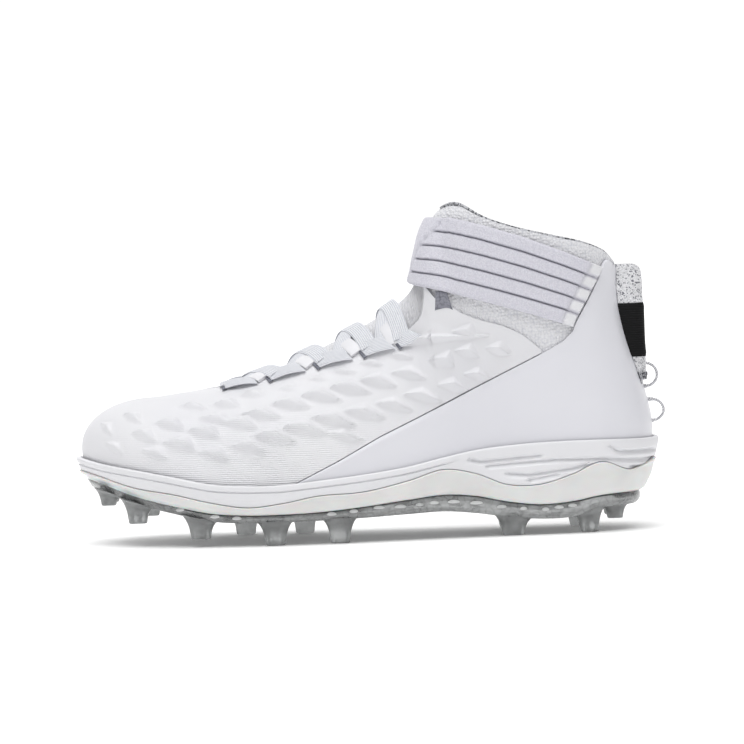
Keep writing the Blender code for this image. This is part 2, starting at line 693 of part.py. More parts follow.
def make_plate(material):
    columns = ring_columns()
    rings = [[] for _ in range(3)]
    for u in columns:
        line = side_lines(u)
        edge = foam_reach(u, line["frame"]) + FRAME_PROUD - 0.0013
        rings[0].append(floor_point(u, edge, "frame", -PLATE_GAP))
        rings[1].append(out_from(u, edge, (line["frame"] + line["plate"]) / 2))
        rings[2].append(floor_point(u, edge - 0.0025, "plate"))
    made = loft("stud_plate", [np.array(r) for r in rings], material)
    sides = 8
    points, faces = [], []
    for stud in STUDS:
        x = stud.x * LENGTH
        y = half_width(x, 1 if stud.across > 0 else -1) * abs(stud.across)
        foot = stud.ground * STUD_HEIGHT
        long, wide = stud.long * STUD_HEIGHT / 2, stud.wide * STUD_HEIGHT / 2
        rings = ((STUD_ROOT, 1.25), (-STUD_FLARE, 0.98), (None, stud.foot * 0.8), (None, stud.foot * 0.68))
        for level, (lift, size) in enumerate(rings):
            for k in range(sides):
                angle = 2 * math.pi * (k + 0.5) / sides
                px, py = x + long * size * math.cos(angle), y + wide * size * math.sin(angle)
                z = foot + (STUD_BEVEL if level == 2 else 0)
                if lift is not None:
                    z = float(sole_height("plate", px)) + lift
                points.append((px, py, z))
        base = len(points) - 4 * sides
        for r in range(3):
            for k in range(sides):
                m = (k + 1) % sides
                faces.append((base + r * sides + k, base + r * sides + m,
                              base + (r + 1) * sides + m, base + (r + 1) * sides + k))
        faces.append(tuple(base + k for k in range(sides)))
        faces.append(tuple(base + 3 * sides + k for k in reversed(range(sides))))
    studs = bpy.data.objects.new("stud bodies", closed_mesh("stud bodies", np.array(points), faces))
    bpy.data.collections[CUTTERS].objects.link(studs)
    studs.parent = bpy.data.objects[HOLDER]
    studs.hide_render = True
    studs.display_type = "WIRE"
    join = made.modifiers.new("studs", "BOOLEAN")
    join.operation = "UNION"
    join.solver = "EXACT"
    join.object = studs
    return made


def form_tree():
    """The form as a fine mesh that rays can be cast at."""
    columns = np.linspace(0, AROUND, 161)[:-1]
    grid = np.array([form(u, np.linspace(0, 1, 25)) for u in columns])
    faces = grid_faces(len(columns), 25, True)
    return BVHTree.FromPolygons([Vector(p) for p in grid.reshape(-1, 3)], faces)


def ankle_point(tree, angle, low, high, share, offset):
    """The point of the ankle at a turn from the front and a share between two side lines."""
    axis_x = ANKLE_AXIS * LENGTH
    x = axis_x + 0.04 * math.cos(angle)
    for _ in range(6):
        z = float(line_height(low, x) * (1 - share) + line_height(high, x) * share)
        out = Vector((math.cos(angle), math.sin(angle), 0))
        found, normal, _, _ = tree.ray_cast(Vector((axis_x, 0, z)), out)
        if found is None:
            raise ValueError("no ankle wall at %.2f, %.3f" % (angle, z))
        x = found.x
    if normal.x * math.cos(angle) + normal.y * math.sin(angle) < 0:
        normal = -normal
    return np.array(found + normal * offset)


STRAP_LOW = [
    (0.05, 0.570), (0.121, 0.610), (0.148, 0.628), (0.198, 0.657),
    (0.252, 0.686), (0.322, 0.721), (0.372, 0.744), (0.42, 0.762),
]
STRAP_HIGH = [
    (0.05, 0.770), (0.070, 0.785), (0.091, 0.802), (0.144, 0.843),
    (0.211, 0.890), (0.282, 0.930), (0.332, 0.953), (0.42, 0.955),
]
GROOVES = 4


def strap_end(tree, side, share):
    """The turn at which the strap meets the wing's edge, at a share of its width."""
    near, far = math.radians(100), math.radians(175)
    for _ in range(14):
        turn = (near + far) / 2
        p = ankle_point(tree, side * turn, STRAP_LOW, STRAP_HIGH, share, 0)
        if p[2] - line_height(WING_LINE, p[0]) > STRAP_SEAM:
            near = turn
        else:
            far = turn
    return near


def make_strap(tree, material):
    profile = [(0.0, 0.0)]
    profile.append((0.0, 0.8))
    profile.append((0.02, 1.0))
    for groove in range(1, GROOVES + 1):
        middle = groove / (GROOVES + 1)
        profile += [(middle - 0.016, 1.0), (middle, 0.62), (middle + 0.016, 1.0)]
    profile += [(0.98, 1.0), (1.0, 0.8), (1.0, 0.0), (0.75, 0.0), (0.5, 0.0), (0.25, 0.0)]
    turns = [-1.0, -0.965, -0.945, -0.925]
    front = [0.04, 0.08, 0.11, 0.14, 0.17, 0.20, 0.235, 0.28, 0.34, 0.42, 0.53, 0.65, 0.77, 0.88]
    turns += [-turn for turn in reversed(front)] + [0.0] + front
    turns += [0.925, 0.945, 0.965, 1.0]
    ends = {(side, share): strap_end(tree, side, share) for side in (-1, 1) for share, _ in profile}
    points = []
    for turn in turns:
        seam = abs(abs(turn) - 0.945) < 0.001
        for share, level in profile:
            end = ends[(-1 if turn < 0 else 1, share)]
            depth = min(level, 0.62) if seam else level
            points.append(ankle_point(tree, turn * end, STRAP_LOW, STRAP_HIGH, share,
                                      STRAP_OFFSET + STRAP_WALL * depth))
    across = len(profile)
    faces = []
    for j in range(len(turns) - 1):
        for i in range(across):
            k = (i + 1) % across
            faces.append((j * across + i, j * across + k, (j + 1) * across + k, (j + 1) * across + i))
    cap = strap_cap(profile)
    last = (len(turns) - 1) * across
    faces = split(faces) + cap + [tuple(last + i for i in reversed(face)) for face in cap]
    return new_object("ankle_strap", closed_mesh("ankle_strap", np.array(points), faces), material)


def strap_cap(profile):
    """Triangles between the outer points of the strap's profile and its inner points, side by side."""
    inner = [0] + [i for i in reversed(range(1, len(profile))) if profile[i][1] == 0]
    outer = [i for i in range(len(profile)) if profile[i][1] > 0]
    made, i, k = [], 0, 0
    while i < len(outer) - 1 or k < len(inner) - 1:
        next_outer = profile[outer[i + 1]][0] if i < len(outer) - 1 else 9
        next_inner = profile[inner[k + 1]][0] if k < len(inner) - 1 else 9
        if next_outer <= next_inner:
            made.append((outer[i], outer[i + 1], inner[k]))
            i += 1
        else:
            made.append((outer[i], inner[k + 1], inner[k]))
            k += 1
    return made


TURNS = [6.28, 7.42, 8.55, 9.68, 10.68]
RUN = 0.40
ARM = 0.17


def strip(path, lift):
    """A flat piece of lace over the form along a path of (row, across), as points and faces."""
    low = np.array([on_ridge(t, w, lift) for t, w in path])
    high = np.array([on_ridge(t, w, lift + 0.001) for t, w in path])
    normal = high - low
    normal /= np.linalg.norm(normal, axis=1, keepdims=True)
    smoothed = np.vstack([normal[:1], (normal[:-2] + 2 * normal[1:-1] + normal[2:]) / 4, normal[-1:]])
    normal = smoothed / np.linalg.norm(smoothed, axis=1, keepdims=True)
    run = np.gradient(low, axis=0)
    run /= np.linalg.norm(run, axis=1, keepdims=True)
    side = np.cross(normal, run)
    side /= np.linalg.norm(side, axis=1, keepdims=True)
    points = []
    for p, n, s in zip(low, normal, side):
        for a, b in ((-1, 0), (1, 0), (1, 1), (-1, 1)):
            points.append(p + s * a * LACE_WIDTH / 2 + n * b * LACE_WALL)
    faces = []
    for j in range(len(low) - 1):
        for i in range(4):
            k = (i + 1) % 4
            faces.append((j * 4 + i, j * 4 + k, (j + 1) * 4 + k, (j + 1) * 4 + i))
    faces += [(0, 1, 2, 3), tuple(4 * (len(low) - 1) + i for i in (3, 2, 1, 0))]
    return points, faces


def strips(paths, lift):
    """Separate flat pieces of lace in one mesh of triangles."""
    points, faces = [], []
    for path in paths:
        more, sides = strip(path, lift)
        faces += [tuple(i + len(points) for i in face) for face in sides]
        points += more
    faces = [tuple(face[i] for i in side) for face in faces for side in ((0, 1, 2), (0, 2, 3))]
    return closed_mesh("lace strips", np.array(points), faces)


def eyestay(t, side):
    """Where a run of the lace lies beside the throat at row t."""
    return (t, side * (float(around("throat", t)) + LACE_MARGIN))


def between(start, end, count):
    return [tuple(p) for p in np.linspace(start, end, count)]


def make_laces(material):
    """Bars along both edges of the throat, with arms that cross over the tongue between them."""
    bars = [
        [eyestay(t, side) for t in np.linspace(t - RUN, t + RUN, 4)] for t in TURNS for side in (1, -1)
    ]
    first = TURNS[0] - RUN * 0.75
    left, right = [between(eyestay(first, 1), eyestay(first, -1), 6)], []
    for t, after in zip(TURNS, TURNS[1:]):
        left.append(between(eyestay(t + ARM, 1), eyestay(after - ARM, -1), 6))
        right.append(between(eyestay(t + ARM, -1), eyestay(after - ARM, 1), 6))
    made = new_object("laces", strips(left, LACE_OFFSET), material)
    for name, paths, level in (("lace crossings", right, 0.62), ("lace bars", bars, 0.35)):
        other = bpy.data.objects.new(name, strips(paths, LACE_OFFSET + LACE_WALL * level))
        bpy.data.collections[CUTTERS].objects.link(other)
        other.parent = bpy.data.objects[HOLDER]
        other.hide_render = True
        other.display_type = "WIRE"
        join = made.modifiers.new(name, "BOOLEAN")
        join.operation = "UNION"
        join.solver = "EXACT"
        join.object = other
    return made


def oval(points, radii, sides=10):
    """Rings of an upright oval tube: points are (x, z), radii (along x, along y)."""
    rings = []
    for (x, z), (a, b) in zip(points, radii):
        angles = 2 * math.pi * (np.arange(sides) + 0.5) / sides
        rings.append(np.stack([x + a * np.cos(angles), b * np.sin(angles), np.full(sides, z)], -1))
    return rings


def heel_x(z):
    """How far forward the heel's back lies at height z, on the wing's face."""
    shares = np.linspace(0, 1, 201)
    line = form(float(LAST), shares, WING_STEP)
    return float(np.interp(z, line[:, 2], line[:, 0]))


def make_pull(knit):
    """A flattened tube that stands up the back of the heel, with a sleeve round its middle."""
    heights = np.array([PULL_FOOT, 0.455, 0.49, 0.535, SLEEVE_LOW, SLEEVE_HIGH, 0.745, 0.775, PULL_TOP])
    heights *= COLLAR_HEIGHT
    swell = [0.62, 0.9, 1, 1, 1, 1, 1, 0.95, 0.66]
    base = max(heel_x(z) for z in heights[2:-1])
    line, sizes = [], []
    for z, k in zip(heights, swell):
        front = min(heel_x(z), base) - GAP - 0.0001
        rear = PULL_REAR * LENGTH
        line.append(((front + rear) / 2, z))
        sizes.append(((front - rear) / 2 * (0.6 + 0.4 * k), PULL_WIDTH / 2 * k))
    loft_tube("heel_pull", oval(line, sizes), knit)


def loft_tube(name, rings, material):
    wide = len(rings[0])
    points = np.vstack(rings)
    faces = []
    for r in range(len(rings) - 1):
        for j in range(wide):
            k = (j + 1) % wide
            faces.append((r * wide + j, r * wide + k, (r + 1) * wide + k, (r + 1) * wide + j))
    last = (len(rings) - 1) * wide
    faces += [tuple(reversed(range(wide))), tuple(last + j for j in range(wide))]
    return new_object(name, closed_mesh(name, points, faces), material)


def make_cords(material):
    """Two thin loops that stand off the back of the heel, in the middle plane."""
    for name, low, high in (("heel_cord_upper", 0.424, 0.494), ("heel_cord_lower", 0.320, 0.384)):
        z_low, z_high = low * COLLAR_HEIGHT, high * COLLAR_HEIGHT
        clear = GAP
        rear = PULL_REAR * LENGTH
        middle, half = (z_low + z_high) / 2, (z_high - z_low) / 2
        behind_pull = z_high > PULL_FOOT * COLLAR_HEIGHT
        base = min(heel_x(z_low), heel_x(z_high), rear if behind_pull else LENGTH) - clear
        turns = np.linspace(0, math.pi, 10)
        points = [(base - CORD_BOW * math.sin(a), 0.0, middle - half * math.cos(a)) for a in turns]
        tube(name, points, CORD_DIAMETER, material)


def tube(name, points, diameter, material):
    """A round cord along a closed-ended path of (x, y, z)."""
    curve = bpy.data.curves.new(name, "CURVE")
    curve.dimensions = "3D"
    curve.bevel_depth = diameter / 2
    curve.bevel_resolution = 2
    curve.use_fill_caps = True
    spline = curve.splines.new("POLY")
    spline.points.add(len(points) - 1)
    for place, point in zip(spline.points, points):
        place.co = (*point, 1)
    made = bpy.data.objects.new(name, curve)
    curve.materials.append(material)
    bpy.data.collections[COLLECTION].objects.link(made)
    made.parent = bpy.data.objects[HOLDER]
    return made


COLLECTION = "football cleat"
CUTTERS = "fused bodies"
HOLDER = "shoe frame"


def clear_scene():
    for old in list(bpy.data.objects):
        bpy.data.objects.remove(old, do_unlink=True)
    for name in (COLLECTION, CUTTERS):
        bpy.context.scene.collection.children.link(bpy.data.collections.new(name))
    holder = bpy.data.objects.new(HOLDER, None)
    bpy.data.collections[COLLECTION].objects.link(holder)


def centre_scene():
    """Moves the holder so that the whole shoe's box is centred on the origin, standing on z = 0."""
    bpy.context.view_layer.update()
    view = bpy.context.evaluated_depsgraph_get()
    corners = []
    for item in bpy.data.collections[COLLECTION].objects:
        if item.type != "EMPTY":
            shape = item.evaluated_get(view)
            corners += [tuple(v.co) for v in shape.to_mesh().vertices]
            shape.to_mesh_clear()
    corners = np.array(corners)
    middle = (corners.min(axis=0) + corners.max(axis=0)) / 2
    bpy.data.objects[HOLDER].location = (-middle[0], -middle[1], 0)


def main():
    clear_scene()
    knit = material("white knit", (0.85, 0.85, 0.87), 0.8)
    skin = material("white moulded skin", (0.88, 0.88, 0.90), 0.45)
    foam = material("white foam", (0.86, 0.86, 0.86), 0.6)
    frost = material("frosted white plate", (0.90, 0.90, 0.92), 0.4)
    clear = material("clear smoke plate", (0.55, 0.57, 0.60), 0.15, alpha=0.5)
    strap = material("pale elastic", (0.80, 0.79, 0.84), 0.75)
    lace = material("white lace", (0.92, 0.92, 0.93), 0.7)
    cord = material("white cord", (0.90, 0.90, 0.90), 0.6)
    make_upper(knit)
    make_skin(skin)
    make_wing(skin)
    make_tongue(knit)
    make_midsole(foam)
    make_frame(frost)
    make_insole(knit)
    make_plate(clear)
    make_strap(form_tree(), strap)
    make_laces(lace)
    make_pull(knit)
    make_cords(cord)
    centre_scene()


main()
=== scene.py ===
"""A left high-top football cleat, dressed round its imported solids.

Everything that follows the foot comes from the same form as the solids: columns that rise from the edge
of the footbed to the top line. Lengths are in metres, +X points to the toe, +Y to the outer side, +Z up.
"""

import math
from collections import namedtuple
from functools import lru_cache

import bmesh
import bpy
import numpy as np
from mathutils import Matrix, Vector
from mathutils.bvhtree import BVHTree


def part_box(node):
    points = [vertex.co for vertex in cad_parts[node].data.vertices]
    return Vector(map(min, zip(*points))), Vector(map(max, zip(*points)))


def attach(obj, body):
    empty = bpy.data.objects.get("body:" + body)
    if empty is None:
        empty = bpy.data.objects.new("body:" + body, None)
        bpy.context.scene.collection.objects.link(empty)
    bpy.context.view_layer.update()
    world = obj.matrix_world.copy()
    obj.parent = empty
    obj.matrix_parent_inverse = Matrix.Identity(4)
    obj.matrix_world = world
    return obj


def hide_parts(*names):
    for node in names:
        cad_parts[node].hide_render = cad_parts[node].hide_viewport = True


bl_info = {
    "name": "Football cleat",
    "version": (1, 0, 0),
    "blender": (4, 5, 0),
    "location": "View3D > Sidebar > Cleat",
    "description": "Builds the upper, laces, strap, sole and studs of a high-top football cleat",
    "category": "Object",
}

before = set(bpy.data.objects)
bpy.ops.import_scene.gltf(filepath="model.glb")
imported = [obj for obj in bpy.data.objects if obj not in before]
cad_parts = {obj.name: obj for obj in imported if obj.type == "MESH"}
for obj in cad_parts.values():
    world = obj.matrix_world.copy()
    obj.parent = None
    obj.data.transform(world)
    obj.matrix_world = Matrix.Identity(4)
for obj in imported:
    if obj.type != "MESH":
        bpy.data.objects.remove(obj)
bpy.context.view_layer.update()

# Driving sizes in metres.
LENGTH = 0.298
BALL_WIDTH = 0.101
COLLAR_HEIGHT = 0.172
HEEL_STACK = 0.048
STUD_HEIGHT = 0.012

# Walls, layers and clearances in metres.
GAP = 0.0003
LAYER_GAP = 0.0004
UPPER_WALL = 0.0020
SKIN_WALL = 0.0012
WING_WALL = 0.0017
WING_STEP = 0.0005
TONGUE_WALL = 0.0028
STRAP_WALL = 0.0026
CUP_LIP = 0.0024
FRAME_PROUD = 0.0009
FRAME_GAP = 0.0005
FRAME_SEAT = 0.0018
FOOT_CLEAR = 0.0009
PLATE_GAP = 0.0006
SEAM = 0.0006
STRAP_SEAM = 0.0014
FRAME_FLOOR = 0.0012
RIM_HEIGHT = 0.0030
RIM_STEP = 0.0010
INSOLE_INSET = 0.0048
SIDE_REACH = 0.005
LIP_UNDER_RIM = 0.0022
LIP_OVER_FLOOR = 0.0035
STUD_ROOT = 0.0009
TONGUE_MARGIN = 0.0075
TONGUE_SINK = 0.0012
LACE_MARGIN = 0.0022

# Places along the rows of the form.
TONGUE_START = 5.2
TONGUE_END = 13.0
ANKLE_AXIS = 0.205
WING_INSET = 0.03
SLOPE_END = 0.985

# How far the layers of the upper lie from the form, which is the outer face of the vamp skin.
UPPER_OFFSET = -(SKIN_WALL + LAYER_GAP)
TONGUE_OFFSET = UPPER_OFFSET - UPPER_WALL - 2 * LAYER_GAP
STRAP_OFFSET = UPPER_OFFSET + 4 * LAYER_GAP
CUP_OFFSET = WING_STEP + 2 * LAYER_GAP
LACE_OFFSET = 0.0009

# How finely the pieces are meshed: columns, and rows up them where there are two numbers.
RIM_COLUMNS = 30
KNIT_GRID = (130, 64)
SKIN_GRID = (221, 74)
WING_GRID = (131, 40)
TONGUE_GRID = (64, 31)
STRAP_GRID = (181, 81)
MIDSOLE_COLUMNS = 200
FRAME_COLUMNS = 180
PLATE_COLUMNS = 150
MIDSOLE_ROWS = 40
# The rows of the midsole's profile that the heel's grooves are cut in.
GROOVED_ROWS = slice(5, 9 + MIDSOLE_ROWS)

Section = namedtuple(
    "Section",
    "name foot_x foot_lat foot_med top_x top_z top_lat top_med throat rise"
    " lean_lat lean_med pull_x pull_out pull_z",
)
# x as shares of LENGTH, y, lean and throat of BALL_WIDTH, z of COLLAR_HEIGHT, rise of the column's height.
SECTIONS = [Section(*row) for row in [
    ("toe tip", 0.982, -0.129, -0.129, 0.866, 0.440, -0.114, -0.114, 0, 0.54, 0.104, 0.104, 0.094, 0, -0.003),
    ("toe cap", 0.968, -0.020, -0.248, 0.862, 0.440, -0.113, -0.113, 0, 0.53, 0.098, 0.098, 0.082, 0.090, -0.003),
    ("little toe", 0.943, 0.089, -0.332, 0.857, 0.441, -0.111, -0.111, 0, 0.52, 0.088, 0.088, 0.060, 0.168, -0.003),
    ("toe side", 0.903, 0.208, -0.406, 0.846, 0.443, -0.109, -0.109, 0, 0.50, 0.079, 0.079, 0.038, 0.228, -0.003),
    ("toe box", 0.849, 0.307, -0.450, 0.825, 0.448, -0.104, -0.104, 0, 0.48, 0.069, 0.065, 0.018, 0.262, -0.002),
    ("vamp", 0.785, 0.381, -0.465, 0.785, 0.457, -0.099, -0.099, 0, 0.45, 0.054, 0.050, 0.003, 0.272, 0),
    ("ball", 0.715, 0.426, -0.460, 0.729, 0.475, -0.089, -0.089, 0.080, 0.43, 0.045, 0.040, 0, 0.272, 0),
    ("fifth joint", 0.644, 0.446, -0.431, 0.662, 0.510, -0.079, -0.079, 0.128, 0.43, 0.040, 0.035, 0, 0.255, 0),
    ("low instep", 0.570, 0.441, -0.386, 0.590, 0.561, -0.064, -0.064, 0.153, 0.43, 0.030, 0.030, 0, 0.230, 0),
    ("instep", 0.500, 0.416, -0.342, 0.520, 0.616, -0.050, -0.050, 0.173, 0.43, 0.020, 0.030, 0, 0.210, 0),
    ("high instep", 0.436, 0.386, -0.317, 0.456, 0.677, -0.035, -0.035, 0.188, 0.43, 0.010, 0.030, 0, 0.200, 0),
    ("ankle bend", 0.389, 0.366, -0.307, 0.411, 0.744, -0.020, -0.020, 0.198, 0.42, 0, 0.020, 0, 0.200, 0),
    ("shin low", 0.359, 0.356, -0.307, 0.394, 0.843, -0.010, -0.010, 0.198, 0.42, -0.020, 0.005, 0, 0.235, 0),
    ("shin high", 0.334, 0.351, -0.307, 0.381, 0.919, -0.005, -0.005, 0, 0.42, -0.040, -0.015, 0, 0.255, 0),
    ("collar front", 0.310, 0.347, -0.307, 0.357, 0.983, 0, 0, 0, 0.40, -0.059, -0.035, 0, 0.255, -0.015),
    ("collar corner", 0.285, 0.342, -0.307, 0.324, 0.997, 0.149, -0.149, 0, 0.38, -0.079, -0.050, 0, 0.160, -0.145),
    ("ankle front", 0.252, 0.337, -0.309, 0.279, 0.953, 0.243, -0.238, 0, 0.36, -0.079, -0.050, 0, 0.100, -0.232),
    ("ankle bone", 0.205, 0.332, -0.312, 0.218, 0.915, 0.287, -0.282, 0, 0.34, -0.050, -0.030, 0, 0.060, -0.244),
    ("ankle back", 0.151, 0.327, -0.317, 0.154, 0.886, 0.292, -0.292, 0, 0.33, 0, 0.010, 0, 0.030, -0.244),
    ("heel side", 0.097, 0.307, -0.307, 0.101, 0.863, 0.257, -0.257, 0, 0.32, 0.059, 0.059, 0, -0.010, -0.244),
    ("heel corner", 0.050, 0.243, -0.248, 0.067, 0.837, 0.173, -0.173, 0, 0.31, 0.109, 0.109, 0.010, -0.030, -0.244),
    ("heel turn", 0.022, 0.144, -0.149, 0.050, 0.808, 0.084, -0.084, 0, 0.30, 0.139, 0.139, 0.017, -0.020, -0.244),
    ("heel back", 0.010, 0, 0, 0.045, 0.797, 0, 0, 0, 0.30, 0.163, 0.163, 0.022, 0, -0.244),
]]
LAST = len(SECTIONS) - 1
# The section at the front of the collar, where the ridge ends.
FRONT = 14

Station = namedtuple("Station", "x bite footbed wave frame plate tuck")
# The sole's heights as shares of HEEL_STACK, at shares of LENGTH; tuck is how far its foot is drawn in, of BALL_WIDTH.
STATIONS = [Station(*row) for row in [
    (-0.01, 0.98, 0.65, 0.76, 0.40, 0.27, 0.105),
    (0.035, 0.99, 0.64, 0.66, 0.41, 0.27, 0.100),
    (0.09, 1.00, 0.62, 0.76, 0.40, 0.26, 0.080),
    (0.14, 1.00, 0.61, 0.64, 0.35, 0.18, 0.070),
    (0.20, 0.99, 0.59, 0.54, 0.33, 0.17, 0.065),
    (0.25, 0.97, 0.57, 0.55, 0.37, 0.20, 0.065),
    (0.31, 0.93, 0.55, 0.69, 0.45, 0.26, 0.065),
    (0.36, 0.87, 0.53, 0.74, 0.475, 0.29, 0.065),
    (0.42, 0.79, 0.51, 0.64, 0.44, 0.28, 0.060),
    (0.50, 0.725, 0.49, 0.54, 0.385, 0.26, 0.055),
    (0.58, 0.68, 0.475, 0.515, 0.345, 0.25, 0.050),
    (0.64, 0.65, 0.47, 0.45, 0.335, 0.245, 0.050),
    (0.70, 0.65, 0.475, 0.415, 0.335, 0.245, 0.055),
    (0.76, 0.675, 0.51, 0.47, 0.36, 0.27, 0.060),
    (0.83, 0.76, 0.595, 0.57, 0.445, 0.36, 0.070),
    (0.90, 0.84, 0.69, 0.64, 0.555, 0.47, 0.080),
    (0.96, 0.90, 0.76, 0.745, 0.68, 0.60, 0.085),
    (1.01, 0.97, 0.81, 0.80, 0.755, 0.68, 0.085),
]]
# How late the foam's side draws in on its way down: 1 would be a straight slope.
TUCK_BEND = 1.4


def unit(vectors):
    return vectors / np.linalg.norm(vectors, axis=-1, keepdims=True)


def circle(count):
    """Angles spread evenly round a circle."""
    return np.linspace(0, 2 * math.pi, count, endpoint=False)


def hat(away, half):
    """1 where away is 0, falling evenly to 0 at half, on both sides."""
    return np.clip(1 - np.abs(away) / half, 0, 1)


def hermite(xs, ys, x):
    """A smooth curve through the points (xs, ys), read at x, level beyond its ends."""
    xs, ys = np.asarray(xs, float), np.asarray(ys, float)
    slopes = np.gradient(ys, xs)
    x = np.clip(x, xs[0], xs[-1])
    i = np.clip(np.searchsorted(xs, x, side="right") - 1, 0, len(xs) - 2)
    width = xs[i + 1] - xs[i]
    t = (x - xs[i]) / width
    a = 2 * t**3 - 3 * t**2 + 1
    b = t**3 - 2 * t**2 + t
    c = 3 * t**2 - 2 * t**3
    d = t**3 - t**2
    return a * ys[i] + b * width * slopes[i] + c * ys[i + 1] + d * width * slopes[i + 1]


def sole_height(column, x):
    """The height of one of the sole's lines over the ground, at x."""
    xs = [row.x * LENGTH for row in STATIONS]
    ys = [getattr(row, column) * HEEL_STACK for row in STATIONS]
    return hermite(xs, ys, x)


def sole_tuck(x):
    xs = [row.x * LENGTH for row in STATIONS]
    return hermite(xs, [row.tuck * BALL_WIDTH for row in STATIONS], x)


def ring_of(lateral, medial, scale):
    """One column of SECTIONS as a closed ring: toe tip, outer side, heel back, inner side."""
    outer = [getattr(row, lateral) * scale for row in SECTIONS]
    inner = [getattr(row, medial) * scale for row in SECTIONS]
    return np.array(outer + inner[-2:0:-1])


def rings():
    columns = {
        "foot_x": ("foot_x", "foot_x", LENGTH), "foot_y": ("foot_lat", "foot_med", BALL_WIDTH),
        "top_x": ("top_x", "top_x", LENGTH), "top_y": ("top_lat", "top_med", BALL_WIDTH),
        "top_z": ("top_z", "top_z", COLLAR_HEIGHT), "throat": ("throat", "throat", BALL_WIDTH),
        "rise": ("rise", "rise", 1), "lean": ("lean_lat", "lean_med", BALL_WIDTH),
        "pull_x": ("pull_x", "pull_x", LENGTH), "pull_y": ("pull_out", "pull_out", BALL_WIDTH),
        "pull_z": ("pull_z", "pull_z", COLLAR_HEIGHT),
    }
    made = {name: ring_of(*column) for name, column in columns.items()}
    made["pull_y"][LAST:] *= -1
    return made


RINGS = rings()
AROUND = 2 * LAST


def around(name, u):
    """A Catmull-Rom curve through one ring, read at u, which counts sections from the toe tip."""
    ring = RINGS[name]
    u = np.asarray(u, float)
    i = np.floor(u).astype(int)
    t = u - i
    before, here, after, beyond = (ring[(i + k) % AROUND] for k in (-1, 0, 1, 2))
    return 0.5 * (
        2 * here
        + (after - before) * t
        + (2 * before - 5 * here + 4 * after - beyond) * t**2
        + (3 * here - before - 3 * after + beyond) * t**3
    )


def handles(u):
    """The four control points of the column at u: its foot, two handles and its top."""
    u = np.asarray(u, float)
    x, y = around("foot_x", u), around("foot_y", u)
    step = 0.02
    run = np.stack([around("foot_x", u + step) - around("foot_x", u - step),
                    around("foot_y", u + step) - around("foot_y", u - step)], -1)
    run = unit(run)
    foot = np.stack([x, y, sole_height("footbed", x) + FOOT_CLEAR], -1)
    top = np.stack([around("top_x", u), around("top_y", u), around("top_z", u)], -1)
    height = top[..., 2] - foot[..., 2]
    lean = around("lean", u)
    low = foot + np.stack([run[..., 1] * lean, -run[..., 0] * lean, around("rise", u) * height], -1)
    high = top + np.stack([around("pull_x", u), around("pull_y", u), around("pull_z", u)], -1)
    return foot, low, high, top


def on_column(points, s):
    foot, low, high, top = points
    s = np.asarray(s, float)[..., None]
    return (1 - s) ** 3 * foot + 3 * (1 - s) ** 2 * s * low + 3 * (1 - s) * s**2 * high + s**3 * top


def form(u, s, offset=0.0):
    """The point of the form at column u and share s of the way up it, moved out by offset."""
    u, s = np.broadcast_arrays(np.asarray(u, float), np.asarray(s, float))
    at = on_column(handles(u), s)
    if not np.any(offset):
        return at
    step = 0.01
    t = np.minimum(s, SLOPE_END)
    along = on_column(handles(u + step), t) - on_column(handles(u - step), t)
    foot, low, high, top = handles(u)
    t = t[..., None]
    upward = (1 - t) ** 2 * (low - foot) + 2 * (1 - t) * t * (high - low) + t**2 * (top - high)
    normal = unit(np.cross(along, upward))
    return at + normal * np.asarray(offset, float)[..., None] if np.ndim(offset) else at + normal * offset


def crossing(u, above):
    """The share up column u where above(points) first turns positive, 0 at the foot and 1 at the top."""
    shares = np.linspace(0, 1, 201)
    values = above(on_column(handles(u), shares))
    if values[0] >= 0:
        return 0.0
    found = np.nonzero(values >= 0)[0]
    if not len(found):
        return 1.0
    i = found[0]
    return float(shares[i - 1] + (shares[i] - shares[i - 1]) * values[i - 1] / (values[i - 1] - values[i]))


def throat_share(u):
    """The share up column u where the edge of the throat, or the collar's rim, lies."""
    gap, middle = float(around("throat", u)), float(around("top_y", u))
    if gap < 0.001:
        return 1.0
    return crossing(u, lambda p: gap - np.abs(p[:, 1] - middle))


# The upper edges of the wing and the skin seen from the side, as shares of LENGTH and COLLAR_HEIGHT.
WING_LINE = [
    (0.00, 0.90), (0.05, 0.845), (0.072, 0.800), (0.085, 0.750), (0.104, 0.690), (0.124, 0.633), (0.131, 0.604),
    (0.148, 0.575), (0.185, 0.541), (0.255, 0.483), (0.326, 0.424), (0.396, 0.366), (0.470, 0.308), (0.540, 0.244),
    (0.611, 0.186), (0.69, 0.115),
]
SKIN_LINE = [
    (0.00, 0.40), (0.14, 0.50), (0.191, 0.558), (0.218, 0.599), (0.252, 0.628), (0.289, 0.645), (0.322, 0.669),
    (0.342, 0.692), (0.366, 0.715), (0.396, 0.78), (0.43, 1.0), (0.6, 1.3), (1.1, 1.6),
]


def line_height(line, x):
    """The height of a panel's edge seen from the side, at x, from shares of LENGTH and COLLAR_HEIGHT."""
    return np.interp(x / LENGTH, [p[0] for p in line], [p[1] for p in line]) * COLLAR_HEIGHT


def wing_share(u):
    return min(crossing(u, lambda p: p[:, 2] - line_height(WING_LINE, p[:, 0])), 1 - WING_INSET)


def skin_share(u):
    return crossing(u, lambda p: p[:, 2] - line_height(SKIN_LINE, p[:, 0]))


def grid_faces(wide, high, wrap=False):
    """Quads of a grid of points stored column by column."""
    spans = wide if wrap else wide - 1
    return [
        (j * high + i, (j + 1) % wide * high + i, (j + 1) % wide * high + i + 1, j * high + i + 1)
        for j in range(spans)
        for i in range(high - 1)
    ]


def merged(points):
    """For each point, the index of the first point in its place."""
    seen = {}
    return [seen.setdefault(tuple(np.round(p / 2e-6).astype(int)), i) for i, p in enumerate(points)]


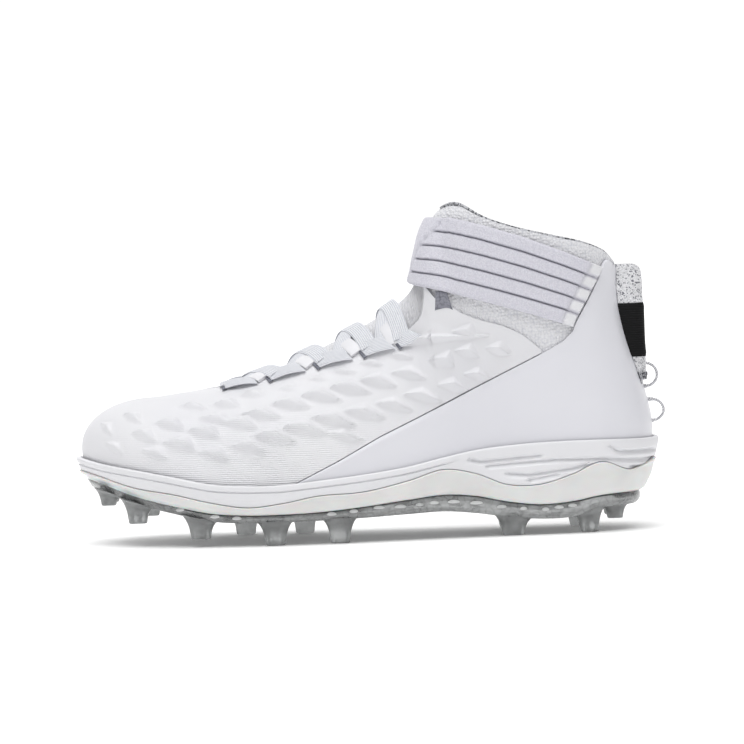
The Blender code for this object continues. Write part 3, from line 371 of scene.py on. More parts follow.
def tidy(faces, same):
    """Faces with their coinciding corners made one, without the ones that vanish."""
    made = []
    for face in faces:
        corners = []
        for i in face:
            if same[i] not in corners:
                corners.append(same[i])
        if len(corners) > 2:
            made.append(tuple(corners))
    return made


def seam_share(u):
    """How far a seam's clearance is up column u, as a share of its length."""
    points = on_column(handles(u), np.linspace(0, 1, 21))
    return SEAM / float(np.linalg.norm(np.diff(points, axis=0), axis=1).sum())


def skin_low(u):
    share = wing_share(u)
    return share + seam_share(u) if share > 0 else 0.0


def skin_high(u):
    return min(throat_share(u), skin_share(u))


def find_column(start, end, keeps):
    """The last column from start towards end for which keeps(u) holds."""
    for _ in range(30):
        middle = (start + end) / 2
        if keeps(middle):
            start = middle
        else:
            end = middle
    return start


def on_ridge(t, across, offset):
    """The point over the instep at row t and a distance across from the ridge, + to the outer side."""
    u = t if across >= 0 else -t
    middle = float(around("top_y", u))
    share = crossing(u, lambda p: abs(across) - np.abs(p[:, 1] - middle))
    return form(u, share, offset)


@lru_cache(maxsize=None)
def feather(u):
    """The foot point of column u and the direction out of the shoe there."""
    step = 0.02
    x, y = float(around("foot_x", u)), float(around("foot_y", u))
    run = np.array([float(around("foot_x", u + step) - around("foot_x", u - step)),
                    float(around("foot_y", u + step) - around("foot_y", u - step))])
    run /= np.linalg.norm(run)
    return np.array([x, y]), np.array([run[1], -run[0]])


def out_from(u, distance, z):
    foot, out = feather(u)
    return np.array([*(foot + out * distance), z])


@lru_cache(maxsize=None)
def side_line(u):
    """Heights up column u, as far as they climb, and how far out of the feather the form lies at each."""
    foot, out = feather(u)
    points = on_column(handles(u), np.linspace(0, 0.6, 241))
    count = int(np.argmax(np.append(np.diff(points[:, 2]) <= 0, True))) + 1
    return points[:count, 2], (points[:count, :2] - foot) @ out


def reach(u, z):
    """How far out of the feather the form lies at height z."""
    heights, distances = side_line(float(u))
    return float(np.interp(z, heights, distances))


@lru_cache(maxsize=None)
def side_lines(u):
    """Heights of the sole's lines on its side at column u."""
    foot, out = feather(u)
    x = foot[0] + out[0] * SIDE_REACH
    lines = {name: float(sole_height(name, x)) for name in Station._fields[1:6]}
    lines["groove"] = lines["bite"] - RIM_HEIGHT
    lines["lip"] = max(min(lines["wave"], lines["groove"] - LIP_UNDER_RIM), lines["frame"] + LIP_OVER_FLOOR)
    return lines


def side_point(u, z, out=0.0, lift=0.0):
    """The point of the foam's side at height z, moved out and up from there."""
    return out_from(u, foam_reach(u, z) + out, z + lift)


def floor_point(u, distance, name, lift=0.0):
    """A point of a floor that runs across the shoe, at a distance out of the feather."""
    point = out_from(u, distance, 0)
    point[2] = float(sole_height(name, point[0])) + lift
    return point


def foam_reach(u, z):
    """How far out of the feather the foam's side lies at height z: full under the rim, drawn in at its foot."""
    lines = side_lines(u)
    x = float(around("foot_x", u))
    top = max(reach(u, max(z, lines["footbed"])), -0.001) + CUP_OFFSET + CUP_LIP
    down = np.clip((lines["footbed"] - z) / (lines["footbed"] - lines["plate"]), 0, 1)
    return top - float(sole_tuck(x)) * down**TUCK_BEND


Stud = namedtuple("Stud", "name x across long wide foot ground")
# x as shares of LENGTH, across as a share of the plate's half width, sizes as shares of STUD_HEIGHT.
STUDS = [Stud(*row) for row in [
    ("toe outer", 0.945, 0.55, 1.05, 0.85, 0.75, 1.75),
    ("toe inner", 0.945, -0.62, 1.05, 0.85, 0.75, 1.75),
    ("front outer", 0.893, 0.74, 1.30, 1.00, 0.80, 1.00),
    ("front inner", 0.880, -0.80, 1.30, 1.00, 0.80, 1.00),
    ("ball outer", 0.783, 0.80, 1.40, 1.10, 0.88, 0.33),
    ("ball inner", 0.790, -0.82, 1.40, 1.10, 0.88, 0.60),
    ("joint outer", 0.654, 0.82, 1.40, 1.10, 0.88, 0),
    ("joint inner", 0.712, -0.82, 1.40, 1.10, 0.88, 0),
    ("arch outer", 0.543, 0.82, 1.35, 1.05, 0.80, 0),
    ("arch inner", 0.607, -0.82, 1.35, 1.05, 0.85, 0),
    ("heel front outer", 0.244, 0.72, 1.55, 1.15, 1.00, 0),
    ("heel front inner", 0.244, -0.72, 1.55, 1.15, 1.00, 0),
    ("heel back outer", 0.112, 0.68, 1.25, 1.15, 0.98, 0),
    ("heel back inner", 0.124, -0.68, 1.25, 1.15, 0.98, 0),
    ("heel end outer", 0.066, 0.52, 1.10, 0.95, 0.80, 0.50),
    ("heel end inner", 0.066, -0.52, 1.10, 0.95, 0.80, 0.50),
]]


def half_width(x, side):
    """How far the plate's edge lies from the middle line at x."""
    columns = np.linspace(0.5, LAST - 0.2, 120) * side
    edge = np.array([out_from(u, foam_reach(u, side_lines(u)["frame"]), 0)[:2] for u in columns])
    order = np.argsort(edge[:, 0])
    return float(np.interp(x, edge[order, 0], edge[order, 1]))


def form_tree():
    """The form as a fine mesh that rays can be cast at."""
    columns = np.linspace(0, AROUND, 161)[:-1]
    grid = np.array([form(u, np.linspace(0, 1, 25)) for u in columns])
    faces = grid_faces(len(columns), 25, True)
    return BVHTree.FromPolygons([Vector(p) for p in grid.reshape(-1, 3)], faces)


def ankle_point(tree, angle, low, high, share, offset):
    """The point of the ankle at a turn from the front and a share between two side lines."""
    axis_x = ANKLE_AXIS * LENGTH
    x = axis_x + 0.04 * math.cos(angle)
    for _ in range(4):
        z = float(line_height(low, x) * (1 - share) + line_height(high, x) * share)
        found, normal, _, _ = tree.ray_cast(Vector((axis_x, 0, z)), Vector((math.cos(angle), math.sin(angle), 0)))
        if found is None:
            raise ValueError("no ankle wall at %.2f, %.3f" % (angle, z))
        x = found.x
    if normal.x * math.cos(angle) + normal.y * math.sin(angle) < 0:
        normal = -normal
    return np.array(found + normal * offset)


# The edges of the strap seen from the side, in the same shares.
STRAP_LOW = [
    (0.05, 0.570), (0.121, 0.610), (0.148, 0.628), (0.198, 0.657), (0.252, 0.686), (0.322, 0.721), (0.372, 0.744),
    (0.42, 0.762),
]
STRAP_HIGH = [
    (0.05, 0.770), (0.070, 0.785), (0.091, 0.802), (0.144, 0.843), (0.211, 0.890), (0.282, 0.930), (0.332, 0.953),
    (0.42, 0.955),
]
GROOVES = 4


def strap_end(tree, side, share):
    """The turn at which the strap meets the wing's edge, at a share of its width."""
    near, far = math.radians(100), math.radians(175)
    for _ in range(14):
        turn = (near + far) / 2
        p = ankle_point(tree, side * turn, STRAP_LOW, STRAP_HIGH, share, 0)
        if p[2] - line_height(WING_LINE, p[0]) > STRAP_SEAM:
            near = turn
        else:
            far = turn
    return near


# Rows of the lace's turns, half the length of a run beside the throat, and where an arm leaves it.
TURNS = [6.28, 7.42, 8.55, 9.68, 10.68]
RUN = 0.40
ARM = 0.17


def eyestay(t, side):
    """Where a run of the lace lies beside the throat at row t."""
    return (t, side * (float(around("throat", t)) + LACE_MARGIN))


def ring_columns(count):
    """Columns round the shoe: toe tip, outer side, heel back, inner side; count of them on each side."""
    side = np.linspace(0, LAST, count + 1)
    return np.concatenate([side, AROUND - side[-2:0:-1]])


def frame_shift():
    """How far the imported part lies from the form's own coordinates, read off the rim of the insole."""
    rim = np.array([floor_point(u, -INSOLE_INSET, "footbed", GAP) for u in ring_columns(RIM_COLUMNS)])
    low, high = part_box("insole")
    return np.array([(low.x + high.x - rim[:, 0].min() - rim[:, 0].max()) / 2,
                     (low.y + high.y - rim[:, 1].min() - rim[:, 1].max()) / 2, 0.0])


SHIFT = frame_shift()


# Colours and materials.


def linear(code):
    """A colour as the shader takes it, from an sRGB hex value."""
    parts = [int(code[i:i + 2], 16) / 255 for i in (0, 2, 4)]
    return tuple(c / 12.92 if c <= 0.04045 else ((c + 0.055) / 1.055) ** 2.4 for c in parts) + (1.0,)


def add(tree, kind, inputs=None, to=None, stops=None, interpolation="LINEAR", **settings):
    """Adds a node: sets its attributes and the stops of its ramp, fills its inputs or links them to a node or
    a socket, and links its own first output to the socket given as to."""
    node = tree.nodes.new("ShaderNode" + kind)
    for name, value in settings.items():
        setattr(node, name, value)
    if stops:
        node.color_ramp.interpolation = interpolation
        for number, (position, colour) in enumerate(stops):
            elements = node.color_ramp.elements
            element = elements[number] if number < len(elements) else elements.new(position)
            element.position, element.color = position, colour
    for name, value in (inputs or {}).items():
        if isinstance(value, bpy.types.Node):
            value = next(socket for socket in value.outputs if socket.enabled)
        if isinstance(value, bpy.types.NodeSocket):
            tree.links.new(value, node.inputs[name])
        else:
            node.inputs[name].default_value = value
    if to is not None:
        tree.links.new(next(socket for socket in node.outputs if socket.enabled), to)
    return node


def finish_of(name, **inputs):
    """A new material: its node tree and the sockets of its one Principled shader, constants filled in."""
    made = bpy.data.materials.new(name)
    made.use_nodes = True
    sockets = made.node_tree.nodes["Principled BSDF"].inputs
    for key, value in inputs.items():
        sockets[key.replace("_", " ")].default_value = value
    return made, made.node_tree, sockets


BLACK, WHITE = (0.0, 0.0, 0.0, 1.0), (1.0, 1.0, 1.0, 1.0)
# Roughness of the clear parts as greys, 0.11 where they are glassy and 0.24 where they are hazy.
GLASSY, HAZY = linear("5E5E5E"), linear("868686")


def knit_material(name, light, pit_painted_shade):
    """Circular-knit polyester: raised nubs about 1.7 mm apart, with painted shade in the small pits between them."""
    made, tree, sockets = finish_of(name, Roughness=0.78, Sheen_Weight=0.2, Sheen_Roughness=0.5)
    place = add(tree, "UVMap", uv_map="cloth")
    nubs = add(tree, "TexVoronoi", {"Vector": place, "Scale": 0.62, "Randomness": 0.6})
    # The pits' colour is painted shade: the knit darkens where its nubs fall away.
    add(tree, "ValToRGB", {"Fac": nubs}, sockets["Base Color"],
        stops=[(0.0, light), (0.5, light), (0.95, pit_painted_shade)])
    fuzz = add(tree, "TexNoise", {"Vector": place, "Scale": 2.4, "Detail": 3.0})
    dome = add(tree, "ValToRGB", {"Fac": nubs}, stops=[(0.0, WHITE), (0.8, BLACK)], interpolation="EASE")
    height = add(tree, "Math", {0: fuzz, 1: 0.3, 2: dome.outputs["Color"]}, operation="MULTIPLY_ADD")
    add(tree, "Bump", {"Height": height, "Distance": 0.00045}, sockets["Normal"])
    return made


def skin_material(tints):
    """A thin polyurethane skin fused over ribbed yarn: satin, with the yarn's 1 mm ribs printing through
    where the piece's ribs attribute is high."""
    made, tree, sockets = finish_of("fused polyurethane skin", Roughness=0.4, Coat_Weight=0.06, Coat_Roughness=0.35)
    place = add(tree, "UVMap", uv_map="cloth")
    split = add(tree, "SeparateXYZ", {"Vector": add(tree, "TexCoord").outputs["Object"]})
    wander = add(tree, "TexNoise", {"Vector": place, "Scale": 0.12, "Detail": 2.0})
    shifted = add(tree, "Math", {0: split.outputs["Z"], 1: 1000.0, 2: wander}, operation="MULTIPLY_ADD")
    waves = add(tree, "Math", {0: shifted, 1: 2 * math.pi / 1.05}, operation="MULTIPLY")
    ribs = add(tree, "Math", {0: waves}, operation="SINE")
    mask = add(tree, "Attribute", attribute_name="ribs", attribute_type="GEOMETRY")
    amount = add(tree, "Math", {0: ribs, 1: mask.outputs["Fac"]}, operation="MULTIPLY")
    grain = add(tree, "TexNoise", {"Vector": place, "Scale": 2.6, "Detail": 4.0})
    height = add(tree, "Math", {0: amount, 1: 0.8, 2: grain}, operation="MULTIPLY_ADD")
    add(tree, "Bump", {"Height": height, "Distance": 0.00018}, sockets["Normal"])
    cloud = add(tree, "TexNoise", {"Vector": add(tree, "TexCoord").outputs["Object"], "Scale": 14.0, "Detail": 5.0})
    add(tree, "ValToRGB", {"Fac": cloud}, sockets["Base Color"],
        stops=[(0.3, tints.skin_shade), (0.6, tints.skin)])
    return made


def grained_material(name, light, shade, patch, grain, depth, **inputs):
    """A moulded or brushed surface: its colour drifts over patches and its grain stands up by depth, both
    given as repeats to the metre."""
    made, tree, sockets = finish_of(name, **inputs)
    place = add(tree, "TexCoord").outputs["Object"]
    cloud = add(tree, "TexNoise", {"Vector": place, "Scale": patch, "Detail": 3.0})
    add(tree, "ValToRGB", {"Fac": cloud}, sockets["Base Color"], stops=[(0.3, shade), (0.65, light)])
    rough = add(tree, "TexNoise", {"Vector": place, "Scale": grain, "Detail": 3.0})
    add(tree, "Bump", {"Height": rough, "Distance": depth}, sockets["Normal"])
    return made


def clear_material(name, tints, mesh):
    """Clear injection-moulded polyurethane with a smoke tint: glassy faces over a cast-in mesh, as strong as
    mesh says, whose cells are about 4 mm wide."""
    made, tree, sockets = finish_of(name, Transmission_Weight=0.62, IOR=1.5)
    place = add(tree, "TexCoord").outputs["Object"]
    cells = add(tree, "TexVoronoi", {"Vector": place, "Scale": 260.0, "Randomness": 0.7}, feature="DISTANCE_TO_EDGE")
    cloud = add(tree, "TexNoise", {"Vector": place, "Scale": 120.0, "Detail": 3.0})
    tone = add(tree, "ValToRGB", {"Fac": cloud}, stops=[(0.35, tints.smoke_shade), (0.65, tints.smoke)])
    lines = add(tree, "ValToRGB", {"Fac": cells}, stops=[(0.0, tints.smoke_lines), (0.16, WHITE)])
    add(tree, "Mix", {"Factor": mesh, "A": tone, "B": lines}, sockets["Base Color"],
        data_type="RGBA", blend_type="MULTIPLY")
    add(tree, "ValToRGB", {"Fac": cloud}, sockets["Roughness"], stops=[(0.3, GLASSY), (0.7, HAZY)])
    add(tree, "Bump", {"Height": cells, "Distance": 0.0006 * mesh}, sockets["Normal"])
    return made


def elastic_material(tints):
    """Woven nylon elastic: fine diagonal weave, about 0.8 mm to the repeat, with painted shade in its pinholes."""
    made, tree, sockets = finish_of("woven nylon elastic", Roughness=0.7, Sheen_Weight=0.15, Sheen_Roughness=0.5)
    place = add(tree, "UVMap", uv_map="cloth")
    weave = add(tree, "TexVoronoi", {"Vector": place, "Scale": 1.25, "Randomness": 0.75})
    # The pinholes' colour is painted shade: the weave darkens where its height falls.
    tone = add(tree, "ValToRGB", {"Fac": weave}, stops=[(0.15, tints.elastic), (0.75, tints.elastic_shade)])
    # This mask darkens the stitched channels, and lays painted shade in the grooves, valleys and seams.
    dark = add(tree, "Attribute", attribute_name="channel", attribute_type="GEOMETRY")
    blocks = add(tree, "Attribute", attribute_name="block", attribute_type="GEOMETRY")
    face = add(tree, "Mix", {"Factor": blocks.outputs["Fac"], "A": tone, "B": tints.skin}, data_type="RGBA")
    add(tree, "Mix", {"Factor": dark.outputs["Fac"], "A": face, "B": tints.channel}, sockets["Base Color"],
        data_type="RGBA")
    height = add(tree, "ValToRGB", {"Fac": weave}, stops=[(0.0, WHITE), (0.8, BLACK)])
    add(tree, "Bump", {"Height": height, "Distance": 0.00022}, sockets["Normal"])
    return made


def lace_material(tints):
    """Flat woven polyester lace: ribs along its length every 1.05 mm, with blue-grey painted shade between them."""
    made, tree, sockets = finish_of("flat woven lace", Roughness=0.72, Sheen_Weight=0.15, Sheen_Roughness=0.5)
    place = add(tree, "UVMap", uv_map="cloth")
    split = add(tree, "SeparateXYZ", {"Vector": place})
    angle = add(tree, "Math", {0: split.outputs["Y"], 1: 2 * math.pi / 1.05}, operation="MULTIPLY")
    ribs = add(tree, "Math", {0: angle}, operation="COSINE")
    height = add(tree, "Math", {0: ribs, 1: 0.5, 2: 0.5}, operation="MULTIPLY_ADD")
    # The darker colour is painted shade in the troughs between the ribs.
    add(tree, "ValToRGB", {"Fac": height}, sockets["Base Color"], stops=[(0.0, tints.lace_shade), (0.5, tints.lace)])
    picks = add(tree, "TexNoise", {"Vector": place, "Scale": 1.6, "Detail": 2.0})
    both = add(tree, "Math", {0: picks, 1: 0.4, 2: height}, operation="MULTIPLY_ADD")
    add(tree, "Bump", {"Height": both, "Distance": 0.0003}, sockets["Normal"])
    return made


def marl_material(name, light, dark, share, scale=1.15):
    """Marl yarn: dark and light fibres twisted together, seen as flecks of 1 mm; share of it is dark."""
    made, tree, sockets = finish_of(name, Roughness=0.85, Sheen_Weight=0.2)
    place = add(tree, "UVMap", uv_map="cloth")
    cells = add(tree, "TexVoronoi", {"Vector": place, "Scale": scale, "Randomness": 1.0})
    fleck = add(tree, "SeparateColor", {"Color": cells.outputs["Color"]})
    add(tree, "ValToRGB", {"Fac": fleck}, sockets["Base Color"], stops=[(0.0, dark), (share, light)],
        interpolation="CONSTANT")
    height = add(tree, "ValToRGB", {"Fac": cells}, stops=[(0.0, WHITE), (0.8, BLACK)], interpolation="EASE")
    add(tree, "Bump", {"Height": height, "Distance": 0.0004}, sockets["Normal"])
    return made


def woven_material(name, light, shade, scale, depth, bands, **inputs):
    """Close ribs across a webbing or plaits round a cord, at a scale in repeats to the metre, with painted shade in the
    hollows between them.
    """
    made, tree, sockets = finish_of(name, **inputs)
    place = add(tree, "TexCoord").outputs["Object"]
    ribs = add(tree, "TexWave", {"Vector": place, "Scale": scale, "Distortion": 0.8, "Detail": 1.0},
               bands_direction=bands)
    # The darker colour is painted shade in the hollows between the ribs and plaits.
    add(tree, "ValToRGB", {"Fac": ribs.outputs["Fac"]}, sockets["Base Color"], stops=[(0.15, shade), (0.7, light)])
    add(tree, "Bump", {"Height": ribs.outputs["Fac"], "Distance": depth}, sockets["Normal"])
    return made


# Meshes.


def weld_ridge(grid, columns, high):
    """Joins the two sides of a grid over the ridge of the toe and the front of the ankle."""
    places = {round(float(u % AROUND), 5): j for j, u in enumerate(columns)}
    for j, u in enumerate(columns):
        k = places.get(round(float(-u % AROUND), 5))
        if k is None or k == j or high[j] < 1 or min(u % AROUND, -u % AROUND) > FRONT:
            continue
        grid[j, -1] = grid[k, -1] = (grid[j, -1] + grid[k, -1]) / 2
    return grid


def form_grid(columns, low, high, rows, offset):
    """Points of the form on every column, between the shares low and high, moved out by offset."""
    shares = low[:, None] + (high - low)[:, None] * np.linspace(0, 1, rows + 1)
    return weld_ridge(form(columns[:, None] + np.zeros_like(shares), shares, offset), columns, high)


def cloth_lengths(grid, wrap=False):
    """For each point its distance along the piece and up it, in millimetres."""
    along = np.linalg.norm(np.diff(grid, axis=0), axis=2).mean(axis=1)
    along = np.concatenate([[0], np.cumsum(along)])
    up = np.linalg.norm(np.diff(grid, axis=1), axis=2)
    up = np.concatenate([np.zeros((len(grid), 1)), np.cumsum(up, axis=1)], axis=1)
    return np.stack([np.repeat(along[:, None], grid.shape[1], 1), up], -1) * 1000


def shell_faces(outside, wide, high, wrap):
    """Faces of a closed wall: its outer face, its inner face and its rims."""
    count = len(outside)
    faces = tidy(grid_faces(wide, high, wrap), merged(outside))
    used = {(a, b) for face in faces for a, b in zip(face, face[1:] + face[:1])}
    rims = [(b, a, a + count, b + count) for a, b in used if (b, a) not in used]
    back = [tuple(i + count for i in reversed(face)) for face in faces]
    return faces, back, sorted(rims)


def put(name, points, faces, slot, materials, replaces=(), indices=None, uv=None, marks=None, sharp=50.0):
    """Makes a finished piece: its mesh in the frame's place, its cloth map, marks and materials."""
    mesh = bpy.data.meshes.new(name)
    mesh.from_pydata((np.asarray(points) + SHIFT).tolist(), [], faces)
    if uv is not None:
        loops = np.zeros(len(mesh.loops), int)
        mesh.loops.foreach_get("vertex_index", loops)
        mesh.uv_layers.new(name="cloth").data.foreach_set("uv", np.asarray(uv, float)[loops].ravel())
    for key, values in (marks or {}).items():
        mesh.attributes.new(key, "FLOAT", "POINT").data.foreach_set("value", np.asarray(values, np.float32).ravel())
    for material in materials:
        mesh.materials.append(material)
    if indices is not None:
        mesh.polygons.foreach_set("material_index", indices)
    shape = bmesh.new()
    shape.from_mesh(mesh)
    bmesh.ops.delete(shape, geom=[v for v in shape.verts if not v.link_faces], context="VERTS")
    bmesh.ops.recalc_face_normals(shape, faces=shape.faces)
    shape.to_mesh(mesh)
    shape.free()
    mesh.shade_smooth()
    mesh.set_sharp_from_angle(angle=math.radians(sharp))
    made = bpy.data.objects.new(name, mesh)
    bpy.context.scene.collection.objects.link(made)
    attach(made, "root")
    if replaces:
        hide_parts(*replaces)
    return made


def put_shell(name, outer, inner, wrap, slot, materials, **more):
    """A wall between two grids; the second material, where there is one, goes inside and on the rims."""
    wide, high = outer.shape[:2]
    face, back, rims = shell_faces(outer.reshape(-1, 3), wide, high, wrap)
    points = np.vstack([outer.reshape(-1, 3), inner.reshape(-1, 3)])
    uv = np.tile(cloth_lengths(outer).reshape(-1, 2), (2, 1))
    marks = {key: np.tile(np.ravel(value), 2) for key, value in more.pop("marks", {}).items()}
    indices = [0] * len(face) + [len(materials) - 1] * (len(back) + len(rims))
    return put(name, points, face + back + rims, slot, materials, indices=indices, uv=uv, marks=marks, **more)


def ring_faces(count, wide):
    """Quads between rings of equal count, one ring after the other."""
    return [(r * wide + j, r * wide + (j + 1) % wide, (r + 1) * wide + (j + 1) % wide, (r + 1) * wide + j)
            for r in range(count - 1) for j in range(wide)]


def put_rings(name, rings, slot, materials, **more):
    """A solid through rings of equal count."""
    rings = np.array(rings)
    count, wide = rings.shape[:2]
    faces = ring_faces(count, wide)
    last = (count - 1) * wide
    faces += [tuple(range(wide)), tuple(last + j for j in range(wide))]
    along = np.concatenate([[0], np.cumsum(np.linalg.norm(np.diff(rings[:, 0], axis=0), axis=1))])
    round_it = np.concatenate([[0], np.cumsum(np.linalg.norm(np.diff(rings[count // 2], axis=0), axis=1))])
    uv = np.stack([np.repeat(along, wide), np.tile(round_it, count)], -1) * 1000
    return put(name, rings.reshape(-1, 3), faces, slot, materials, uv=uv, **more)


def put_loft(name, profile, count, slot, materials, push=None, **more):
    """A solid through the rings that profile(u) gives a point of; its ends are strips across the shoe."""
    columns = ring_columns(count)
    rings = np.array([profile(u) for u in columns]).transpose(1, 0, 2)
    if push is not None:
        rings = push(rings, columns)
    high, wide = rings.shape[:2]
    faces = ring_faces(high, wide)
    for base in (0, (high - 1) * wide):
        faces += [(base + j, base + j + 1, base + (wide - j - 1) % wide, base + (wide - j) % wide)
                  for j in range(wide // 2)]
    points = rings.reshape(-1, 3)
    return put(name, points, tidy(faces, merged(points)), slot, materials, **more)


# The relief of the skin.


def tangents(grid):
    """Unit normals of a grid, and its unit directions along the columns and up them."""
    along, up = np.gradient(grid, axis=0), np.gradient(grid, axis=1)
    return [v / np.maximum(np.linalg.norm(v, axis=2, keepdims=True), 1e-12) for v in (np.cross(along, up), along, up)]


Bump = namedtuple("Bump", "x z long high")
# Centres and half sizes in millimetres, seen from the outer side; both sides of the shoe carry them.
BUMPS = [Bump(*row) for row in [
    (185.6, 78.4, 4.5, 1.4), (171.4, 83.1, 5.0, 1.6), (157.7, 86.3, 5.5, 1.8),
    (143.0, 89.9, 5.5, 1.9), (127.8, 93.5, 5.2, 2.1), (111.9, 101.3, 5.5, 2.8),
    (94.7, 103.8, 6.0, 3.0), (78.3, 94.9, 5.6, 3.0),
    (205.4, 76.0, 7.0, 2.6), (185.9, 70.1, 8.8, 3.6), (170.1, 73.7, 8.8, 3.8),
    (154.4, 77.3, 8.6, 3.8), (139.7, 80.4, 8.0, 3.5), (122.9, 84.0, 7.0, 3.0),
    (107.1, 89.7, 6.4, 3.2), (94.0, 93.9, 5.8, 3.0),
    (219.1, 71.3, 7.5, 3.0), (200.1, 65.9, 9.0, 3.8), (178.5, 57.3, 9.0, 4.2),
    (162.7, 62.0, 8.8, 4.0), (147.0, 64.5, 8.0, 3.4), (132.3, 68.2, 7.5, 3.0),
    (116.6, 71.8, 7.4, 3.3), (101.3, 77.0, 6.8, 3.2), (88.1, 82.2, 5.9, 3.0),
    (212.2, 61.1, 9.0, 3.8), (194.3, 53.7, 9.2, 4.2), (230.6, 57.1, 8.5, 3.6),
    (207.4, 49.5, 8.5, 3.6), (157.8, 54.0, 7.0, 2.8), (225.7, 46.5, 8.5, 3.2),
    (242.2, 51.8, 8.5, 3.6), (248.6, 61.9, 8.0, 3.4), (261.8, 57.2, 7.5, 3.0),
    (267.7, 66.2, 7.0, 2.6), (281.4, 61.0, 6.0, 2.2), (277.6, 51.0, 6.5, 2.2),
    (255.9, 48.1, 7.0, 2.6), (236.2, 70.5, 7.5, 2.8), (224.0, 64.0, 8.0, 3.2),
]]


# A bump's shape: how much longer than listed and how much flatter its outline is, how far it reaches, how its
# ends taper, and how wide its upper face is against the lower one.
BUMP_LONG, BUMP_FLAT = 1.22, 0.80
BUMP_REACH = 0.03
BUMP_TAPER, BUMP_CREST = 1.15, 0.6
BUMP_BROW = 2.5
# The middle line of the toe, as a share of BALL_WIDTH.
TOE_MIDDLE = -0.06


def skin_relief(grid, share, tilt):
    """How far each point of the skin is raised by the bumps, in metres."""
    _, along, up = (v.reshape(-1, 3) for v in tangents(grid))
    raised = np.zeros(grid.shape[:2])
    flat = grid.reshape(-1, 3)
    for side in (1, -1):
        ours = np.nonzero(side * (flat[:, 1] - BALL_WIDTH * TOE_MIDDLE) > 0)[0]
        for bump in BUMPS:
            spot = np.array([bump.x, bump.z]) / 1000
            nearest = ours[np.argmin(((flat[ours][:, (0, 2)] - spot) ** 2).sum(axis=1))]
            forward = along[nearest] * (1 if along[nearest][0] > 0 else -1)
            away = grid - flat[nearest]
            run, rise = away @ forward, away @ up[nearest]
            a = (run * math.cos(tilt) + rise * math.sin(tilt)) / (bump.long / 1000 * BUMP_LONG)
            b = (rise * math.cos(tilt) - run * math.sin(tilt)) / (bump.high / 1000 * BUMP_FLAT)
            near = np.linalg.norm(away, axis=2) < BUMP_REACH
            top = np.clip(1 - np.abs(a) ** BUMP_TAPER, 0, 1)
            lower = np.clip((b + top) / np.maximum(2 * top, 1e-6), 0, 1)
            upper = np.clip((top * BUMP_BROW - b) / np.maximum((BUMP_BROW - 1) * top, 1e-6), 0, 1)
            lift = np.minimum(lower, upper) * top**BUMP_CREST * near
            raised = np.maximum(raised, lift * bump.high / 1000 * share)
    return raised


Crease = namedtuple("Crease", "start end half deep")
# Soft troughs, and ridges where deep is negative, in millimetres, seen from the side; both sides carry them.
CREASES = [Crease(*row) for row in [
    ((229.0, 80.0), (216.0, 44.0), 4.5, 0.35), ((213.0, 84.0), (200.0, 46.0), 4.5, 0.30),
    ((133.0, 106.0), (108.0, 92.0), 4.0, 0.45), ((118.0, 114.0), (84.0, 101.0), 3.5, 0.50),
    ((190.0, 29.0), (46.0, 93.0), 3.0, -0.40), ((70.0, 62.0), (8.0, 66.0), 7.0, 0.45),
    ((50.0, 82.0), (14.0, 96.0), 6.0, 0.40), ((34.0, 112.0), (20.0, 132.0), 4.0, -0.30),
]]


# The share of a panel's height over which its creases fade towards its edges.
SKIN_FADE, WING_FADE = 0.08, 0.06


def crease_depth(points, fade):
    """How far each point of a panel sinks in the creases, in metres, less and less over fade of its height at
    either edge."""
    rows = points.shape[1]
    edge = np.clip(np.minimum(np.linspace(0, 1, rows), np.linspace(1, 0, rows)) / fade, 0, 1)
    deep = np.zeros(points.shape[:-1])
    for crease in CREASES:
        start, run = np.array(crease.start), np.subtract(crease.end, crease.start)
        off = points[..., (0, 2)] * 1000 - start
        along = np.clip((off @ run) / (run @ run), 0, 1)
        away = np.linalg.norm(off - along[..., None] * run, axis=-1) / crease.half
        deep = deep + crease.deep / 1000 * np.exp(-(away**2)) * np.sin(math.pi * (0.12 + 0.76 * along))
    return deep * edge


# Pieces.


def build_knit(tints, sizes):
    """The knitted sock of the upper: it shows at the collar, above and below the strap, and inside."""
    columns = ring_columns(KNIT_GRID[0])
    low = np.zeros(len(columns))
    high = np.array([throat_share(u) for u in columns])
    outer, inner = (form_grid(columns, low, high, KNIT_GRID[1], offset)
                    for offset in (UPPER_OFFSET, UPPER_OFFSET - UPPER_WALL))
    lining = marl_material("grey marl lining", tints.marl, tints.marl_shade, 0.4)
    put_shell("knit_upper", outer, inner, True, "white_knit",
              [knit_material("white circular knit", tints.knit, tints.knit_shade), lining], replaces=("upper",))


def locate(x, z):
    """The column and share of the form's outer side that is seen at x and z."""
    columns, shares = np.linspace(0, LAST, 221), np.linspace(0, 1, 101)
    points = form(columns[:, None], shares[None, :])
    away = (points[..., 0] - x) ** 2 + (points[..., 2] - z) ** 2
    column, share = np.unravel_index(np.argmin(away), away.shape)
    return columns[column], shares[share]


# Corners of the outer patch seen from the side, in metres: low front, high front, high back, low back.
PATCH = [(0.1095, 0.1170), (0.1090, 0.1262), (0.1035, 0.1262), (0.1005, 0.1170)]
PATCH_CROWN, PATCH_LIFT, PATCH_ROWS = 0.0009, 0.0002, 12


